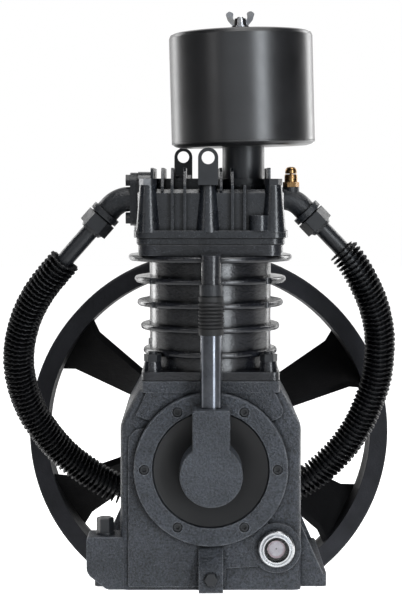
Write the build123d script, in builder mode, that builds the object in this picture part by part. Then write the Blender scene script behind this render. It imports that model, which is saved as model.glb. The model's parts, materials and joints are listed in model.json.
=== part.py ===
from build123d import *
import math
import os

# Belt-driven two-stage air compressor pump: two cylinders in line on one crankcase.
# Millimetres. Origin: centre of the foot bolt pattern on the base plane.
# +Z up, -Y towards the front bearing cover, +Y towards the flywheel.

# ---------- driving dimensions ----------
CRANK_Z = 137.5
THROW = 35.0
ROD_LENGTH = 173.5
FIRST_Y = -37.0
SECOND_Y = 63.0
FIRST_BORE_R = 52.5
SECOND_BORE_R = 28.5
FIRST_WALL_R = 69.75
SECOND_WALL_R = 46.0
RUN_GAP = 0.05

CASE_HALF = 101.0
CASE_FRONT = -108.5
CASE_REAR = 103.0
CASE_WALL = 9.0
CASE_TOP = 234.5
FLANGE_HALF = 77.0
FOOT_HALF = 131.0
FOOT_T = 14.0
FOOT_BOLT_X = 113.0
FOOT_BOLT_Y = 58.0
FOOT_BOLT_R = 6.5

COVER_R = 85.6
COVER_SPIGOT_R = 62.0
COVER_FACE = -122.0
COVER_SEAT = -112.0
COVER_SEAT_DEPTH = 2.5
COVER_PCD_R = 74.0
BOSS_FACE = -162.0
BOSS_R = 34.4
NECK_HALF = 20.5
NECK_TOP = 209.0
BREATHER_Y = -139.0

BEARING_R = 40.0
BEARING_W = 18.0
JOURNAL_R = 20.0 - RUN_GAP
FRONT_BEARING_Y = -112.0
REAR_BEARING_Y = 93.0
REAR_BOSS_R = 62.0
REAR_BOSS_Y = 112.0

BLOCK_Z = 235.5
DECK_Z = 386.0
PLATE_Z = 387.0
HEAD_Z = 394.0
HEAD_TOP = 452.7
HEAD_HALF = 84.0
HEAD_FRONT = -108.0
HEAD_REAR = 115.0
FIN_TOP = 472.0

WHEEL_R = 228.5
RIM_INNER_R = 206.0
WHEEL_FRONT = 151.0
WHEEL_REAR = 201.0
HUB_R = 42.0
HUB_FRONT = 140.0
HUB_REAR = 204.0
SHAFT_END_R = 17.5

TUBE_R = 10.0
FIN_R = 19.0
BEND_R = 30.0
LEFT_TILT = 48.5
RIGHT_TILT = 46.0
LEFT_CORNER = (-107.0, -10.0, 436.0)
RIGHT_CORNER = (101.0, 45.0, 436.0)

CAN_R = 83.0
CAN_FOOT = 5.5
CAN_TOP = 131.0
CAN_TILT = 1.5
CAN_CENTRE = (38.6, -22.0, 497.0)

LUG_X = -3.0
REAR_LUG_X = -32.0
LUG_T = 5.0
LUG_HALF = 11.2
HEAD_BOLTS = [
    (-70, -96), (LUG_X, -96), (70, -96), (-76, 14), (76, 14),
    (-70, 104), (REAR_LUG_X, 104), (32, 104), (70, 104),
]
BASE_STUDS = [(-65, -94), (65, -94), (-65, 88), (65, 88)]

os.makedirs("parts", exist_ok=True)


def save(builder, label):
    """Label a finished sub-part and write its STEP file."""
    builder.part.label = label
    export_step(builder.part, f"parts/{label}.step")


def front_plane(y):
    """Sketch plane at depth y, seen from the front: local x = +X, local y = +Z."""
    return Plane(origin=(0, y, 0), x_dir=(1, 0, 0), z_dir=(0, -1, 0))


def crank_plane(y):
    """The front plane with its origin on the crank axis."""
    return Plane(origin=(0, y, CRANK_Z), x_dir=(1, 0, 0), z_dir=(0, -1, 0))


CRANK_AXIS = Axis((0, 0, CRANK_Z), (0, 1, 0))
# Half-section through the crank axis: local x = +Y, local y = radius above the axis.
CRANK_SECTION = Plane(origin=(0, 0, CRANK_Z), x_dir=(0, 1, 0), z_dir=(1, 0, 0))


def side_direction(side):
    """Unit vector along a tube nut: side -1 is left, +1 is right."""
    tilt = math.radians(LEFT_TILT if side < 0 else RIGHT_TILT)
    return Vector(side * math.cos(tilt), 0, -math.sin(tilt))


def side_point(side, distance):
    """Point on a tube nut's axis, measured from the elbow's corner."""
    corner = Vector(*(LEFT_CORNER if side < 0 else RIGHT_CORNER))
    return corner + side_direction(side) * distance


def side_plane(side, distance):
    """Plane square to a tube nut's axis, facing along the tube."""
    return Plane(origin=side_point(side, distance), x_dir=(0, 1, 0), z_dir=side_direction(side))


# ---------- crankcase ----------
SIGHT_X = 73.0
SIGHT_Z = 48.0
DRAIN_Z = 17.0
DRAIN_HALF = 13.5
DRAIN_FACE = -128.0
FILLER_X = -119.0
FILLER_Y = -88.0
FILLER_TOP = 59.0


def case_outline(inset, base, shoulder):
    """Front outline of the crankcase, drawn inset from its walls and up from base."""
    half = CASE_HALF - inset
    top_half = 80.0 - inset
    path = FilletPolyline(
        (-half, base), (-half, 186 - inset / 2), (-top_half, shoulder), (top_half, shoulder),
        (half, 186 - inset / 2), (half, base), radius=[25, 12, 12, 25],
    )
    Line(path @ 1, path @ 0)


with BuildPart() as crankcase:
    with BuildSketch(front_plane(CASE_FRONT)):
        with BuildLine():
            case_outline(0, 0, 226)
        make_face()
    extrude(amount=CASE_FRONT - CASE_REAR)
    fillet(crankcase.edges().filter_by(Axis.Z), radius=8)
    # raised pads on the front: top trapezoid, left and middle field, sight-glass boss
    with BuildSketch(front_plane(CASE_FRONT)):
        with BuildLine():
            FilletPolyline(
                (-72, 222), (72, 222), (84, 196), (66, 190), (-66, 190), (-84, 196),
                radius=[2, 6, 10, 10, 6, 2], close=True,
            )
        make_face()
    extrude(amount=3)
    with BuildSketch(front_plane(CASE_FRONT)):
        with BuildLine():
            FilletPolyline(
                (-92, 4), (16, 4), (16, 25), (66, 28), (66, 70), (40, 130), (-40, 186), (-92, 180),
                radius=[3, 3, 3, 8, 8, 20, 20, 16], close=True,
            )
        make_face()
    extrude(amount=3)
    with BuildSketch(front_plane(CASE_FRONT)):
        with Locations((SIGHT_X, SIGHT_Z)):
            Circle(28)
    extrude(amount=3.5)
    with BuildSketch(crank_plane(CASE_FRONT)):
        Circle(COVER_R)
    extrude(amount=COVER_SEAT_DEPTH)
    with BuildSketch(crank_plane(CASE_FRONT - COVER_SEAT_DEPTH)):
        Circle(COVER_R + 0.5)
    extrude(amount=10, mode=Mode.SUBTRACT)
    # drain boss at the foot of the front face, sloping back into the wall above the plug
    with BuildSketch(Plane.YZ.offset(-DRAIN_HALF)):
        with BuildLine():
            FilletPolyline(
                (CASE_FRONT + 1, 0), (DRAIN_FACE, 0), (DRAIN_FACE, 27), (CASE_FRONT + 1, 58),
                radius=[5, 12],
            )
            Line((CASE_FRONT + 1, 58), (CASE_FRONT + 1, 0))
        make_face()
    extrude(amount=2 * DRAIN_HALF)
    # rear bearing boss
    with BuildSketch(crank_plane(CASE_REAR - 2)):
        Circle(REAR_BOSS_R)
    extrude(amount=CASE_REAR - 2 - REAR_BOSS_Y)
    # top flange under the cylinder block
    with BuildSketch(Plane.XY.offset(222)):
        with Locations((0, (CASE_REAR - 112) / 2)):
            RectangleRounded(2 * FLANGE_HALF, CASE_REAR + 112, 7)
    extrude(amount=CASE_TOP - 222)
    # oil filler boss on the left
    with BuildSketch(front_plane(FILLER_Y - 19)):
        with BuildLine():
            filler = FilletPolyline(
                (-95, FILLER_TOP), (-139, FILLER_TOP), (-139, 18), (-116, 0), (-95, 0),
                radius=[4, 14, 8],
            )
            Line(filler @ 1, filler @ 0)
        make_face()
    extrude(amount=-38)
    # feet with bolt holes, and a gusset at each end of each foot
    with BuildSketch(Plane.XY):
        with Locations((-FOOT_HALF / 2 - 45, 0.5), (FOOT_HALF / 2 + 45, 0.5)):
            RectangleRounded(FOOT_HALF - 90, 185, 5)
        with GridLocations(2 * FOOT_BOLT_X, 2 * FOOT_BOLT_Y, 2, 2):
            Circle(FOOT_BOLT_R, mode=Mode.SUBTRACT)
    extrude(amount=FOOT_T)
    for side, gusset_y in ((1, -81), (1, 93), (-1, 93)):
        with BuildSketch(front_plane(gusset_y)):
            Polygon(
                (side * 95, 74), (side * 101, 72), (side * 127, FOOT_T), (side * 127, 8), (side * 95, 8),
                align=None,
            )
        extrude(amount=11)
    # hollow inside, openings for the cover, bearing, cylinders, drain, filler and sight glass
    with BuildSketch(front_plane(CASE_FRONT + 8.5)):
        with BuildLine():
            case_outline(CASE_WALL, 10, 214)
        make_face()
    extrude(amount=-(CASE_REAR - CASE_WALL - CASE_FRONT - 8.5), mode=Mode.SUBTRACT)
    with BuildSketch(crank_plane(-130)):
        Circle(COVER_SPIGOT_R + 0.2)
    extrude(amount=-40, mode=Mode.SUBTRACT)
    with BuildSketch(crank_plane(REAR_BOSS_Y)):
        Circle(BEARING_R)
    extrude(amount=24, mode=Mode.SUBTRACT)
    with BuildSketch(Plane.XY.offset(210)):
        with Locations((0, FIRST_Y)):
            Circle(FIRST_BORE_R)
        with Locations((0, SECOND_Y)):
            Circle(SECOND_BORE_R + 3)
    extrude(amount=30, mode=Mode.SUBTRACT)
    with BuildSketch(front_plane(-130)):
        with Locations((0, DRAIN_Z)):
            Circle(6)
        with Locations((SIGHT_X, SIGHT_Z)):
            Circle(13)
    extrude(amount=-34, mode=Mode.SUBTRACT)
    with BuildSketch(Plane.XY.offset(25)):
        with Locations((FILLER_X, FILLER_Y)):
            Circle(8)
    extrude(amount=FILLER_TOP, mode=Mode.SUBTRACT)
    with BuildSketch(Plane.YZ.offset(FILLER_X)):
        with Locations((FILLER_Y, 33)):
            Circle(7.5)
    extrude(amount=40, mode=Mode.SUBTRACT)
    # tapped holes for the cover screws and the cylinder studs
    with BuildSketch(crank_plane(-130)):
        with PolarLocations(COVER_PCD_R, 6):
            Circle(3)
    extrude(amount=-32, mode=Mode.SUBTRACT)
    with BuildSketch(crank_plane(REAR_BOSS_Y)):
        with PolarLocations(51, 6, start_angle=30):
            Circle(3)
    extrude(amount=14, mode=Mode.SUBTRACT)
    with BuildSketch(Plane.XY.offset(CASE_TOP)):
        with Locations(*BASE_STUDS):
            Circle(5)
    extrude(amount=-9, mode=Mode.SUBTRACT)
save(crankcase, "crankcase")

# ---------- front bearing cover ----------
# The smooth dish is a shallow cone that sinks from the flange to the foot of the boss, as (depth, radius).
DISH_EDGE = (-120.5, 64.0)
DISH_HUB = (-115.5, 31.0)
BOSS_FOOT = -114.0
with BuildPart() as front_cover:
    with BuildSketch(CRANK_SECTION):
        with BuildLine():
            Polyline(
                (COVER_SEAT, COVER_SPIGOT_R), (COVER_SEAT, COVER_R), (COVER_FACE + 1, COVER_R),
                (COVER_FACE, COVER_R - 1), (COVER_FACE, 65.5), DISH_EDGE, DISH_HUB,
                (DISH_HUB[0], 0), (BOSS_FOOT, 0), (BOSS_FOOT, 32), (FRONT_BEARING_Y, 32),
                (FRONT_BEARING_Y, BEARING_R), (-94, BEARING_R), (-94, 47), (-104, 49), (-104, 56),
                (-94, 58), (-94, COVER_SPIGOT_R), (COVER_SEAT, COVER_SPIGOT_R),
            )
        make_face()
    revolve(axis=CRANK_AXIS)
    # keyhole boss: round over the shaft end, with a neck up to the breather tube
    with BuildSketch(crank_plane(BOSS_FACE)) as keyhole:
        Circle(BOSS_R)
        with Locations((0, (NECK_TOP - CRANK_Z) / 2)):
            Rectangle(2 * NECK_HALF, NECK_TOP - CRANK_Z)
        fillet(keyhole.vertices().group_by(Axis.Z)[-1], radius=3)
    extrude(amount=BOSS_FACE - BOSS_FOOT)
    fillet(front_cover.faces().sort_by(Axis.Y)[0].outer_wire().edges(), radius=2)
    # breather passage behind the boss and up the neck
    with BuildSketch(crank_plane(BOSS_FACE + 7)):
        Circle(26)
    extrude(amount=BOSS_FACE + 7 - FRONT_BEARING_Y, mode=Mode.SUBTRACT)
    with BuildSketch(Plane(origin=(0, BREATHER_Y, CRANK_Z))):
        Circle(9.5)
    extrude(amount=NECK_TOP - CRANK_Z, mode=Mode.SUBTRACT)
    with BuildSketch(Plane(origin=(0, BREATHER_Y, NECK_TOP - 9))):
        Circle(11.75)
    extrude(amount=9, mode=Mode.SUBTRACT)
    # counterbored screw holes
    with BuildSketch(crank_plane(COVER_FACE)):
        with PolarLocations(COVER_PCD_R, 6):
            Circle(5.6)
    extrude(amount=-6, mode=Mode.SUBTRACT)
    with BuildSketch(crank_plane(COVER_FACE)):
        with PolarLocations(COVER_PCD_R, 6):
            Circle(3.3)
    extrude(amount=-12, mode=Mode.SUBTRACT)
save(front_cover, "front_cover")

with BuildPart() as front_cover_gasket:
    with BuildSketch(crank_plane(COVER_SEAT)):
        Circle(COVER_R - 0.6)
        Circle(COVER_SPIGOT_R + 0.2, mode=Mode.SUBTRACT)
        with PolarLocations(COVER_PCD_R, 6):
            Circle(3.3, mode=Mode.SUBTRACT)
    extrude(amount=-1)
save(front_cover_gasket, "front_cover_gasket")


with BuildPart() as front_cover_screws:
    with BuildPart(mode=Mode.PRIVATE) as cover_screw:
        with BuildSketch(Plane.XZ):
            with BuildLine():
                Polyline(
                    (0, -5.2), (4.5, -5.2), (5, -4.7), (5, 0), (3, 0), (3, 19), (0, 19), close=True
                )
            make_face()
        revolve(axis=Axis.Z)
        with BuildSketch(Plane.XY.offset(-5.2)):
            RegularPolygon(2.5, 6, major_radius=False)
        extrude(amount=3, mode=Mode.SUBTRACT)
    with Locations(Plane(origin=(0, COVER_FACE + 6, CRANK_Z), x_dir=(1, 0, 0), z_dir=(0, 1, 0))):
        with PolarLocations(COVER_PCD_R, 6):
            add(cover_screw.part)
save(front_cover_screws, "front_cover_screws")


# ---------- bearings, seal and rear bearing cover ----------
def bearing(y):
    """Ball bearing with shallow shield grooves, starting at depth y."""
    with BuildPart() as ring:
        with BuildSketch(CRANK_SECTION):
            with BuildLine():
                Polyline(
                    (y, 20), (y, 26), (y + 1, 27), (y + 1, 33), (y, 34), (y, BEARING_R),
                    (y + BEARING_W, BEARING_R), (y + BEARING_W, 34), (y + BEARING_W - 1, 33),
                    (y + BEARING_W - 1, 27), (y + BEARING_W, 26), (y + BEARING_W, 20), close=True,
                )
            make_face()
        revolve(axis=CRANK_AXIS)
    return ring


save(bearing(FRONT_BEARING_Y), "front_bearing")
save(bearing(REAR_BEARING_Y), "rear_bearing")

with BuildPart() as rear_bearing_cover:
    with BuildSketch(CRANK_SECTION):
        with BuildLine():
            Polyline(
                (REAR_BOSS_Y, 31), (REAR_BOSS_Y, REAR_BOSS_R), (118, REAR_BOSS_R), (119, 61),
                (119, 44), (124, 40), (124, 31), close=True,
            )
        make_face()
    revolve(axis=CRANK_AXIS)
    with BuildSketch(crank_plane(119)):
        with PolarLocations(51, 6, start_angle=30):
            Circle(3.3)
    extrude(amount=10, mode=Mode.SUBTRACT)
save(rear_bearing_cover, "rear_bearing_cover")

with BuildPart() as rear_cover_screws:
    with BuildPart(mode=Mode.PRIVATE) as hex_screw:
        with BuildSketch(Plane.XY.offset(-4)):
            RegularPolygon(5, 6, major_radius=False)
        extrude(amount=4)
        with BuildSketch(Plane.XY):
            Circle(3)
        extrude(amount=18)
    with Locations(Plane(origin=(0, 119, CRANK_Z), x_dir=(1, 0, 0), z_dir=(0, -1, 0))):
        with PolarLocations(51, 6, start_angle=30):
            add(hex_screw.part)
save(rear_cover_screws, "rear_cover_screws")

with BuildPart() as oil_seal:
    with BuildSketch(CRANK_SECTION):
        with BuildLine():
            Polyline(
                (114, 20), (115, 22), (115, 31), (123, 31), (123, 23), (118, 20), close=True,
            )
        make_face()
    revolve(axis=CRANK_AXIS)
save(oil_seal, "oil_seal")

# ---------- sight glass, drain plug, oil filler plug ----------
SIGHT_AXIS = Axis((SIGHT_X, 0, SIGHT_Z), (0, 1, 0))
SIGHT_SECTION = Plane(origin=(SIGHT_X, 0, SIGHT_Z), x_dir=(0, 1, 0), z_dir=(1, 0, 0))

with BuildPart() as sight_glass_bezel:
    with BuildSketch(SIGHT_SECTION):
        with BuildLine():
            Polyline(
                (-112, 13), (-112, 20.35), (-119, 20.35), (-121, 19), (-121, 17.2), (-120, 16.6),
                (-122.5, 15.4), (-122.5, 14), (-117.5, 13.6), (-117.5, 10), (-98, 10), (-98, 13),
                close=True,
            )
        make_face()
    revolve(axis=SIGHT_AXIS)
save(sight_glass_bezel, "sight_glass_bezel")

with BuildPart() as sight_glass_lens:
    with BuildSketch(SIGHT_SECTION):
        with BuildLine():
            Polyline((-117.5, 0), (-117.5, 13.6), (-119.5, 13.6), (-120.5, 0), close=True)
        make_face()
    revolve(axis=SIGHT_AXIS)
save(sight_glass_lens, "sight_glass_lens")

with BuildPart() as sight_glass_reflector:
    with BuildSketch(Plane(origin=(SIGHT_X, -115, SIGHT_Z), x_dir=(1, 0, 0), z_dir=(0, -1, 0))):
        RectangleRounded(14, 14, 3, rotation=45)
    extrude(amount=-1.2)
    with BuildSketch(front_plane(-113.8)):
        with Locations((SIGHT_X, SIGHT_Z)):
            Circle(10)
    extrude(amount=-3)
save(sight_glass_reflector, "sight_glass_reflector")

with BuildPart() as drain_plug:
    with BuildSketch(Plane(origin=(0, -128, DRAIN_Z), x_dir=(1, 0, 0), z_dir=(0, 1, 0))):
        Circle(6)
    extrude(amount=16)
    with BuildSketch(Plane(origin=(0, -128, DRAIN_Z), x_dir=(1, 0, 0), z_dir=(0, -1, 0))):
        RegularPolygon(6.5, 6, major_radius=False)
    extrude(amount=4)
    chamfer(drain_plug.faces().sort_by(Axis.Y)[0].edges(), length=0.6)
save(drain_plug, "drain_plug")

with BuildPart() as oil_filler_plug:
    with BuildSketch(Plane(origin=(FILLER_X, FILLER_Y, FILLER_TOP))):
        Circle(10.5)
    extrude(amount=3)
    with BuildSketch(Plane(origin=(FILLER_X, FILLER_Y, FILLER_TOP + 3))):
        RegularPolygon(8.5, 6, major_radius=False)
    extrude(amount=16)
    chamfer(oil_filler_plug.faces().sort_by(Axis.Z)[-1].edges(), length=1)
    with BuildSketch(Plane(origin=(FILLER_X, FILLER_Y, FILLER_TOP - 14))):
        Circle(8 - RUN_GAP)
    extrude(amount=14)
save(oil_filler_plug, "oil_filler_plug")

# ---------- cylinder block ----------
# fin height, and its reach out from the front cylinder's axis
BLOCK_FINS = [(263, 77), (291, 80), (318, 84), (345, 87), (370, 94)]
FIN_T = 7.0


def two_circles(front_r, rear_r):
    """Closed outline that wraps both cylinders."""
    with Locations((0, FIRST_Y)):
        Circle(front_r)
    with Locations((0, SECOND_Y)):
        Circle(rear_r)
    make_hull()


with BuildPart() as cylinder_block:
    with BuildSketch(Plane.XY.offset(BLOCK_Z)):
        with Locations((0, (CASE_REAR - 111) / 2)):
            RectangleRounded(2 * FLANGE_HALF, CASE_REAR + 111, 8)
    extrude(amount=9)
    with BuildSketch(Plane.XY.offset(BLOCK_Z)):
        with Locations(*BASE_STUDS):
            Circle(12.5)
    extrude(amount=20, taper=10)
    with BuildSketch(Plane.XY.offset(BLOCK_Z)):
        with Locations((0, FIRST_Y)):
            Circle(FIRST_WALL_R)
        with Locations((0, SECOND_Y)):
            Circle(SECOND_WALL_R)
        with Locations((0, 20)):
            Rectangle(70, 60)
    extrude(amount=DECK_Z - BLOCK_Z)
    with BuildSketch(Plane.XY.offset(DECK_Z - 12)):
        with Locations((0, (HEAD_REAR + HEAD_FRONT) / 2)):
            RectangleRounded(2 * HEAD_HALF - 6, HEAD_REAR - HEAD_FRONT, 16)
    extrude(amount=12)
    for fin_z, reach in BLOCK_FINS:
        with BuildSketch(Plane.XY.offset(fin_z - FIN_T / 2)):
            two_circles(reach, SECOND_WALL_R + 0.6 * (reach - FIRST_WALL_R))
        extrude(amount=FIN_T)
    fin_edges = cylinder_block.edges().filter_by(GeomType.CIRCLE).filter_by(
        lambda edge: abs(edge.radius - FIRST_WALL_R) > 5
        and edge.center(CenterOf.BOUNDING_BOX).Z > 255
        and edge.center(CenterOf.BOUNDING_BOX).Z < DECK_Z - 12
        and edge.radius > SECOND_WALL_R + 2
    )
    fillet(fin_edges, radius=3)
    # breather boss on the front
    with BuildSketch(Plane.XY.offset(344)):
        with BuildLine():
            boss_side = Polyline((-11, BREATHER_Y), (-11, -95), (11, -95), (11, BREATHER_Y))
            ThreePointArc(boss_side @ 1, (0, BREATHER_Y - 11.5), boss_side @ 0)
        make_face()
    extrude(amount=32)
    with BuildSketch(Plane.XY.offset(325)):
        with Locations((0, -106)):
            Rectangle(18, 22)
    extrude(amount=20)
    with BuildSketch(Plane.XY.offset(BLOCK_Z)):
        with Locations((0, FIRST_Y)):
            Circle(FIRST_BORE_R)
        with Locations((0, SECOND_Y)):
            Circle(SECOND_BORE_R)
        with Locations(*BASE_STUDS):
            Circle(5.2)
    extrude(amount=DECK_Z - BLOCK_Z, mode=Mode.SUBTRACT)
    with BuildSketch(Plane.XY.offset(DECK_Z)):
        with Locations(*HEAD_BOLTS):
            Circle(5)
    extrude(amount=-11, mode=Mode.SUBTRACT)
    with BuildSketch(Plane.XY.offset(344)):
        with Locations((0, BREATHER_Y)):
            Circle(8)
    extrude(amount=20, mode=Mode.SUBTRACT)
save(cylinder_block, "cylinder_block")

with BuildPart() as cylinder_base_gasket:
    with BuildSketch(Plane.XY.offset(CASE_TOP)):
        with Locations((0, (CASE_REAR - 110) / 2)):
            RectangleRounded(2 * FLANGE_HALF - 1, CASE_REAR + 109, 7)
        with Locations((0, FIRST_Y)):
            Circle(FIRST_BORE_R, mode=Mode.SUBTRACT)
        with Locations((0, SECOND_Y)):
            Circle(SECOND_BORE_R, mode=Mode.SUBTRACT)
        with Locations(*BASE_STUDS):
            Circle(5.2, mode=Mode.SUBTRACT)
    extrude(amount=BLOCK_Z - CASE_TOP)
save(cylinder_base_gasket, "cylinder_base_gasket")

with BuildPart() as cylinder_base_nuts:
    with BuildSketch(Plane.XY.offset(BLOCK_Z + 20)):
        with Locations(*BASE_STUDS):
            RegularPolygon(8.5, 6, major_radius=False)
    extrude(amount=8)
    with BuildSketch(Plane.XY.offset(CASE_TOP - 9)):
        with Locations(*BASE_STUDS):
            Circle(5)
    extrude(amount=BLOCK_Z - CASE_TOP + 9 + 20 + 11)
save(cylinder_base_nuts, "cylinder_base_nuts")


# ---------- valve plate, gaskets, reed valves ----------
def deck_plate(z, thickness, margin):
    """Plate of the deck's outline with bolt holes; margin shrinks it all round."""
    with BuildPart() as plate:
        with BuildSketch(Plane.XY.offset(z)):
            with Locations((0, (HEAD_REAR + HEAD_FRONT) / 2)):
                RectangleRounded(
                    2 * (HEAD_HALF - margin), HEAD_REAR - HEAD_FRONT - 2 * margin, 16 - margin
                )
            with Locations(*HEAD_BOLTS):
                Circle(5.4, mode=Mode.SUBTRACT)
        extrude(amount=thickness)
    return plate.part


with BuildPart() as lower_head_gasket:
    add(deck_plate(DECK_Z, 1, 2))
    with BuildSketch(Plane.XY.offset(DECK_Z)):
        with Locations((0, FIRST_Y)):
            Circle(FIRST_BORE_R)
        with Locations((0, SECOND_Y)):
            Circle(SECOND_BORE_R)
    extrude(amount=1, mode=Mode.SUBTRACT)
save(lower_head_gasket, "lower_head_gasket")

FIRST_PORT_X = 26.0
SECOND_PORT_X = 14.0
with BuildPart() as valve_plate:
    add(deck_plate(PLATE_Z, 6, 1))
    with BuildSketch(Plane.XY.offset(PLATE_Z)):
        with Locations((-FIRST_PORT_X, FIRST_Y), (FIRST_PORT_X, FIRST_Y)):
            SlotOverall(38, 14, rotation=90)
        with Locations((-SECOND_PORT_X, SECOND_Y), (SECOND_PORT_X, SECOND_Y)):
            SlotOverall(24, 9, rotation=90)
    extrude(amount=6, mode=Mode.SUBTRACT)
save(valve_plate, "valve_plate")

CHAMBERS = [(-34.5, -40, 59, 88), (34.5, -40, 59, 88), (-34.5, 60, 59, 64), (34.5, 60, 59, 64)]
with BuildPart() as upper_head_gasket:
    add(deck_plate(PLATE_Z + 6, 1, 2))
    for x, y, width, depth in CHAMBERS:
        with BuildSketch(Plane.XY.offset(PLATE_Z + 6)):
            with Locations((x, y)):
                RectangleRounded(width, depth, 8)
        extrude(amount=1, mode=Mode.SUBTRACT)
save(upper_head_gasket, "upper_head_gasket")

with BuildPart() as reed_valves:
    # discharge reeds lie on the plate, with a stop above each; left is delivery
    for x, y, length, width in ((-FIRST_PORT_X, FIRST_Y, 56, 17), (-SECOND_PORT_X, SECOND_Y, 40, 12)):
        with BuildSketch(Plane.XY.offset(PLATE_Z + 6)):
            with Locations((x, y)):
                SlotOverall(length, width, rotation=90)
        extrude(amount=0.8)
        with BuildSketch(Plane.XY.offset(PLATE_Z + 6.8)):
            with Locations((x, y)):
                Rectangle(8, length - width)
        extrude(amount=3)
save(reed_valves, "reed_valves")

# ---------- cylinder head ----------
FRONT_RIBS = [-43, -29, 24, 37.5]
TOP_FINS = [-66, -54, -43, -29, 11.5, 24, 66]
LEFT_PORT_Z = LEFT_CORNER[2]
RIGHT_PORT_Z = RIGHT_CORNER[2]
DISCHARGE_X = -51.0
DISCHARGE_Z = 425.0
DISCHARGE_R = 10.5
ROOF_RISE = 7.5

with BuildPart() as cylinder_head:
    with BuildSketch(Plane.XY.offset(HEAD_Z)):
        with Locations((0, (HEAD_REAR + HEAD_FRONT) / 2)):
            RectangleRounded(2 * HEAD_HALF + 4, HEAD_REAR - HEAD_FRONT + 2, 17)
    extrude(amount=8)
    with BuildSketch(Plane.XY.offset(HEAD_Z)):
        with Locations((0, (HEAD_REAR + HEAD_FRONT) / 2 + 2)):
            RectangleRounded(2 * HEAD_HALF - 4, HEAD_REAR - HEAD_FRONT - 12, 12)
    extrude(amount=HEAD_TOP - HEAD_Z - 5)
    chamfer(cylinder_head.faces().sort_by(Axis.Z)[-1].edges(), length=4)
    # bolt bosses stand up round the edge
    with BuildSketch(Plane.XY.offset(HEAD_Z + 6)):
        with Locations(*HEAD_BOLTS):
            Circle(14)
    extrude(amount=HEAD_TOP - HEAD_Z - 6, taper=5)
    # raised roof over the second stage
    with BuildSketch(Plane.XY.offset(HEAD_TOP - 8)):
        with Locations((0, 60)):
            RectangleRounded(134, 76, 8)
    extrude(amount=8 + ROOF_RISE)
    # upright ribs on the front and fins on the top
    for x in FRONT_RIBS:
        with BuildSketch(Plane.XY.offset(HEAD_Z + 6)):
            with Locations((x, -52)):
                Rectangle(3, 110)
        extrude(amount=HEAD_TOP - HEAD_Z - 6)
    for x in TOP_FINS:
        with BuildSketch(Plane.YZ.offset(x - 1.5)):
            with BuildLine():
                FilletPolyline(
                    (-104, HEAD_TOP - 8), (-92, FIN_TOP - 4), (-80, FIN_TOP), (90, FIN_TOP),
                    (108, FIN_TOP - 8), (108, HEAD_TOP - 8), radius=[4, 3, 3, 4, 0, 0], close=True,
                )
            make_face()
        extrude(amount=3)
    # intake seat, port pads and the small half-round boss low on the front
    with BuildSketch(Plane.XY.offset(HEAD_TOP - 8)):
        with Locations((CAN_CENTRE[0], CAN_CENTRE[1])):
            Circle(33)
    extrude(amount=8)
    with BuildSketch(Plane.XY.offset(HEAD_TOP)):
        with Locations((CAN_CENTRE[0], CAN_CENTRE[1])):
            Circle(33)
    extrude(amount=FIN_TOP - HEAD_TOP + 2, mode=Mode.SUBTRACT)
    with BuildSketch(Plane.YZ.offset(-HEAD_HALF)):
        with Locations((LEFT_CORNER[1], LEFT_PORT_Z)):
            SlotOverall(64, 30, rotation=90)
    extrude(amount=20)
    with BuildSketch(Plane.YZ.offset(HEAD_HALF - 12)):
        with Locations((RIGHT_CORNER[1], RIGHT_PORT_Z)):
            Circle(17)
    extrude(amount=13.2)
    with BuildSketch(Plane.XY.offset(HEAD_Z + 8)):
        with Locations((54, -101)):
            Circle(11.5)
    extrude(amount=17)
    with BuildSketch(front_plane(HEAD_REAR)):
        with Locations((DISCHARGE_X, DISCHARGE_Z)):
            Circle(17)
    extrude(amount=20)
    # four gas chambers, open at the gasket face
    for x, y, width, depth in CHAMBERS:
        with BuildSketch(Plane.XY.offset(HEAD_Z)):
            with Locations((x, y)):
                RectangleRounded(width, depth, 8)
        extrude(amount=48, mode=Mode.SUBTRACT)
    with BuildSketch(Plane.XY.offset(HEAD_Z + 40)):
        with Locations((CAN_CENTRE[0], CAN_CENTRE[1])):
            Circle(19)
    extrude(amount=40, mode=Mode.SUBTRACT)
    with BuildSketch(Plane.YZ.offset(-HEAD_HALF - 5)):
        with Locations((LEFT_CORNER[1], LEFT_PORT_Z)):
            Circle(10)
        with Locations((LEFT_CORNER[1], LEFT_PORT_Z + 22), (LEFT_CORNER[1], LEFT_PORT_Z - 22)):
            Circle(4)
    extrude(amount=21, mode=Mode.SUBTRACT)
    with BuildSketch(Plane.YZ.offset(-HEAD_HALF)):
        with Locations((LEFT_CORNER[1], LEFT_PORT_Z - 4)):
            Circle(9)
    extrude(amount=40, mode=Mode.SUBTRACT)
    with BuildSketch(Plane.YZ.offset(40)):
        with Locations((RIGHT_CORNER[1], RIGHT_PORT_Z - 4)):
            Circle(9)
    extrude(amount=60, mode=Mode.SUBTRACT)
    with BuildSketch(front_plane(HEAD_REAR + 5)):
        with Locations((DISCHARGE_X, DISCHARGE_Z)):
            Circle(DISCHARGE_R)
    extrude(amount=40, mode=Mode.SUBTRACT)
    with BuildSketch(Plane.XY.offset(HEAD_Z)):
        with Locations(*HEAD_BOLTS):
            Circle(5.4)
    extrude(amount=HEAD_TOP - HEAD_Z, mode=Mode.SUBTRACT)
    with BuildSketch(Plane.XY.offset(HEAD_TOP)):
        with Locations(*HEAD_BOLTS):
            Circle(12.5)
        with Locations((LUG_X, -97.5), (REAR_LUG_X, 105.5)):
            Rectangle(2 * LUG_HALF + 1, 27)
    extrude(amount=30, mode=Mode.SUBTRACT)
save(cylinder_head, "cylinder_head")

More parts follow.
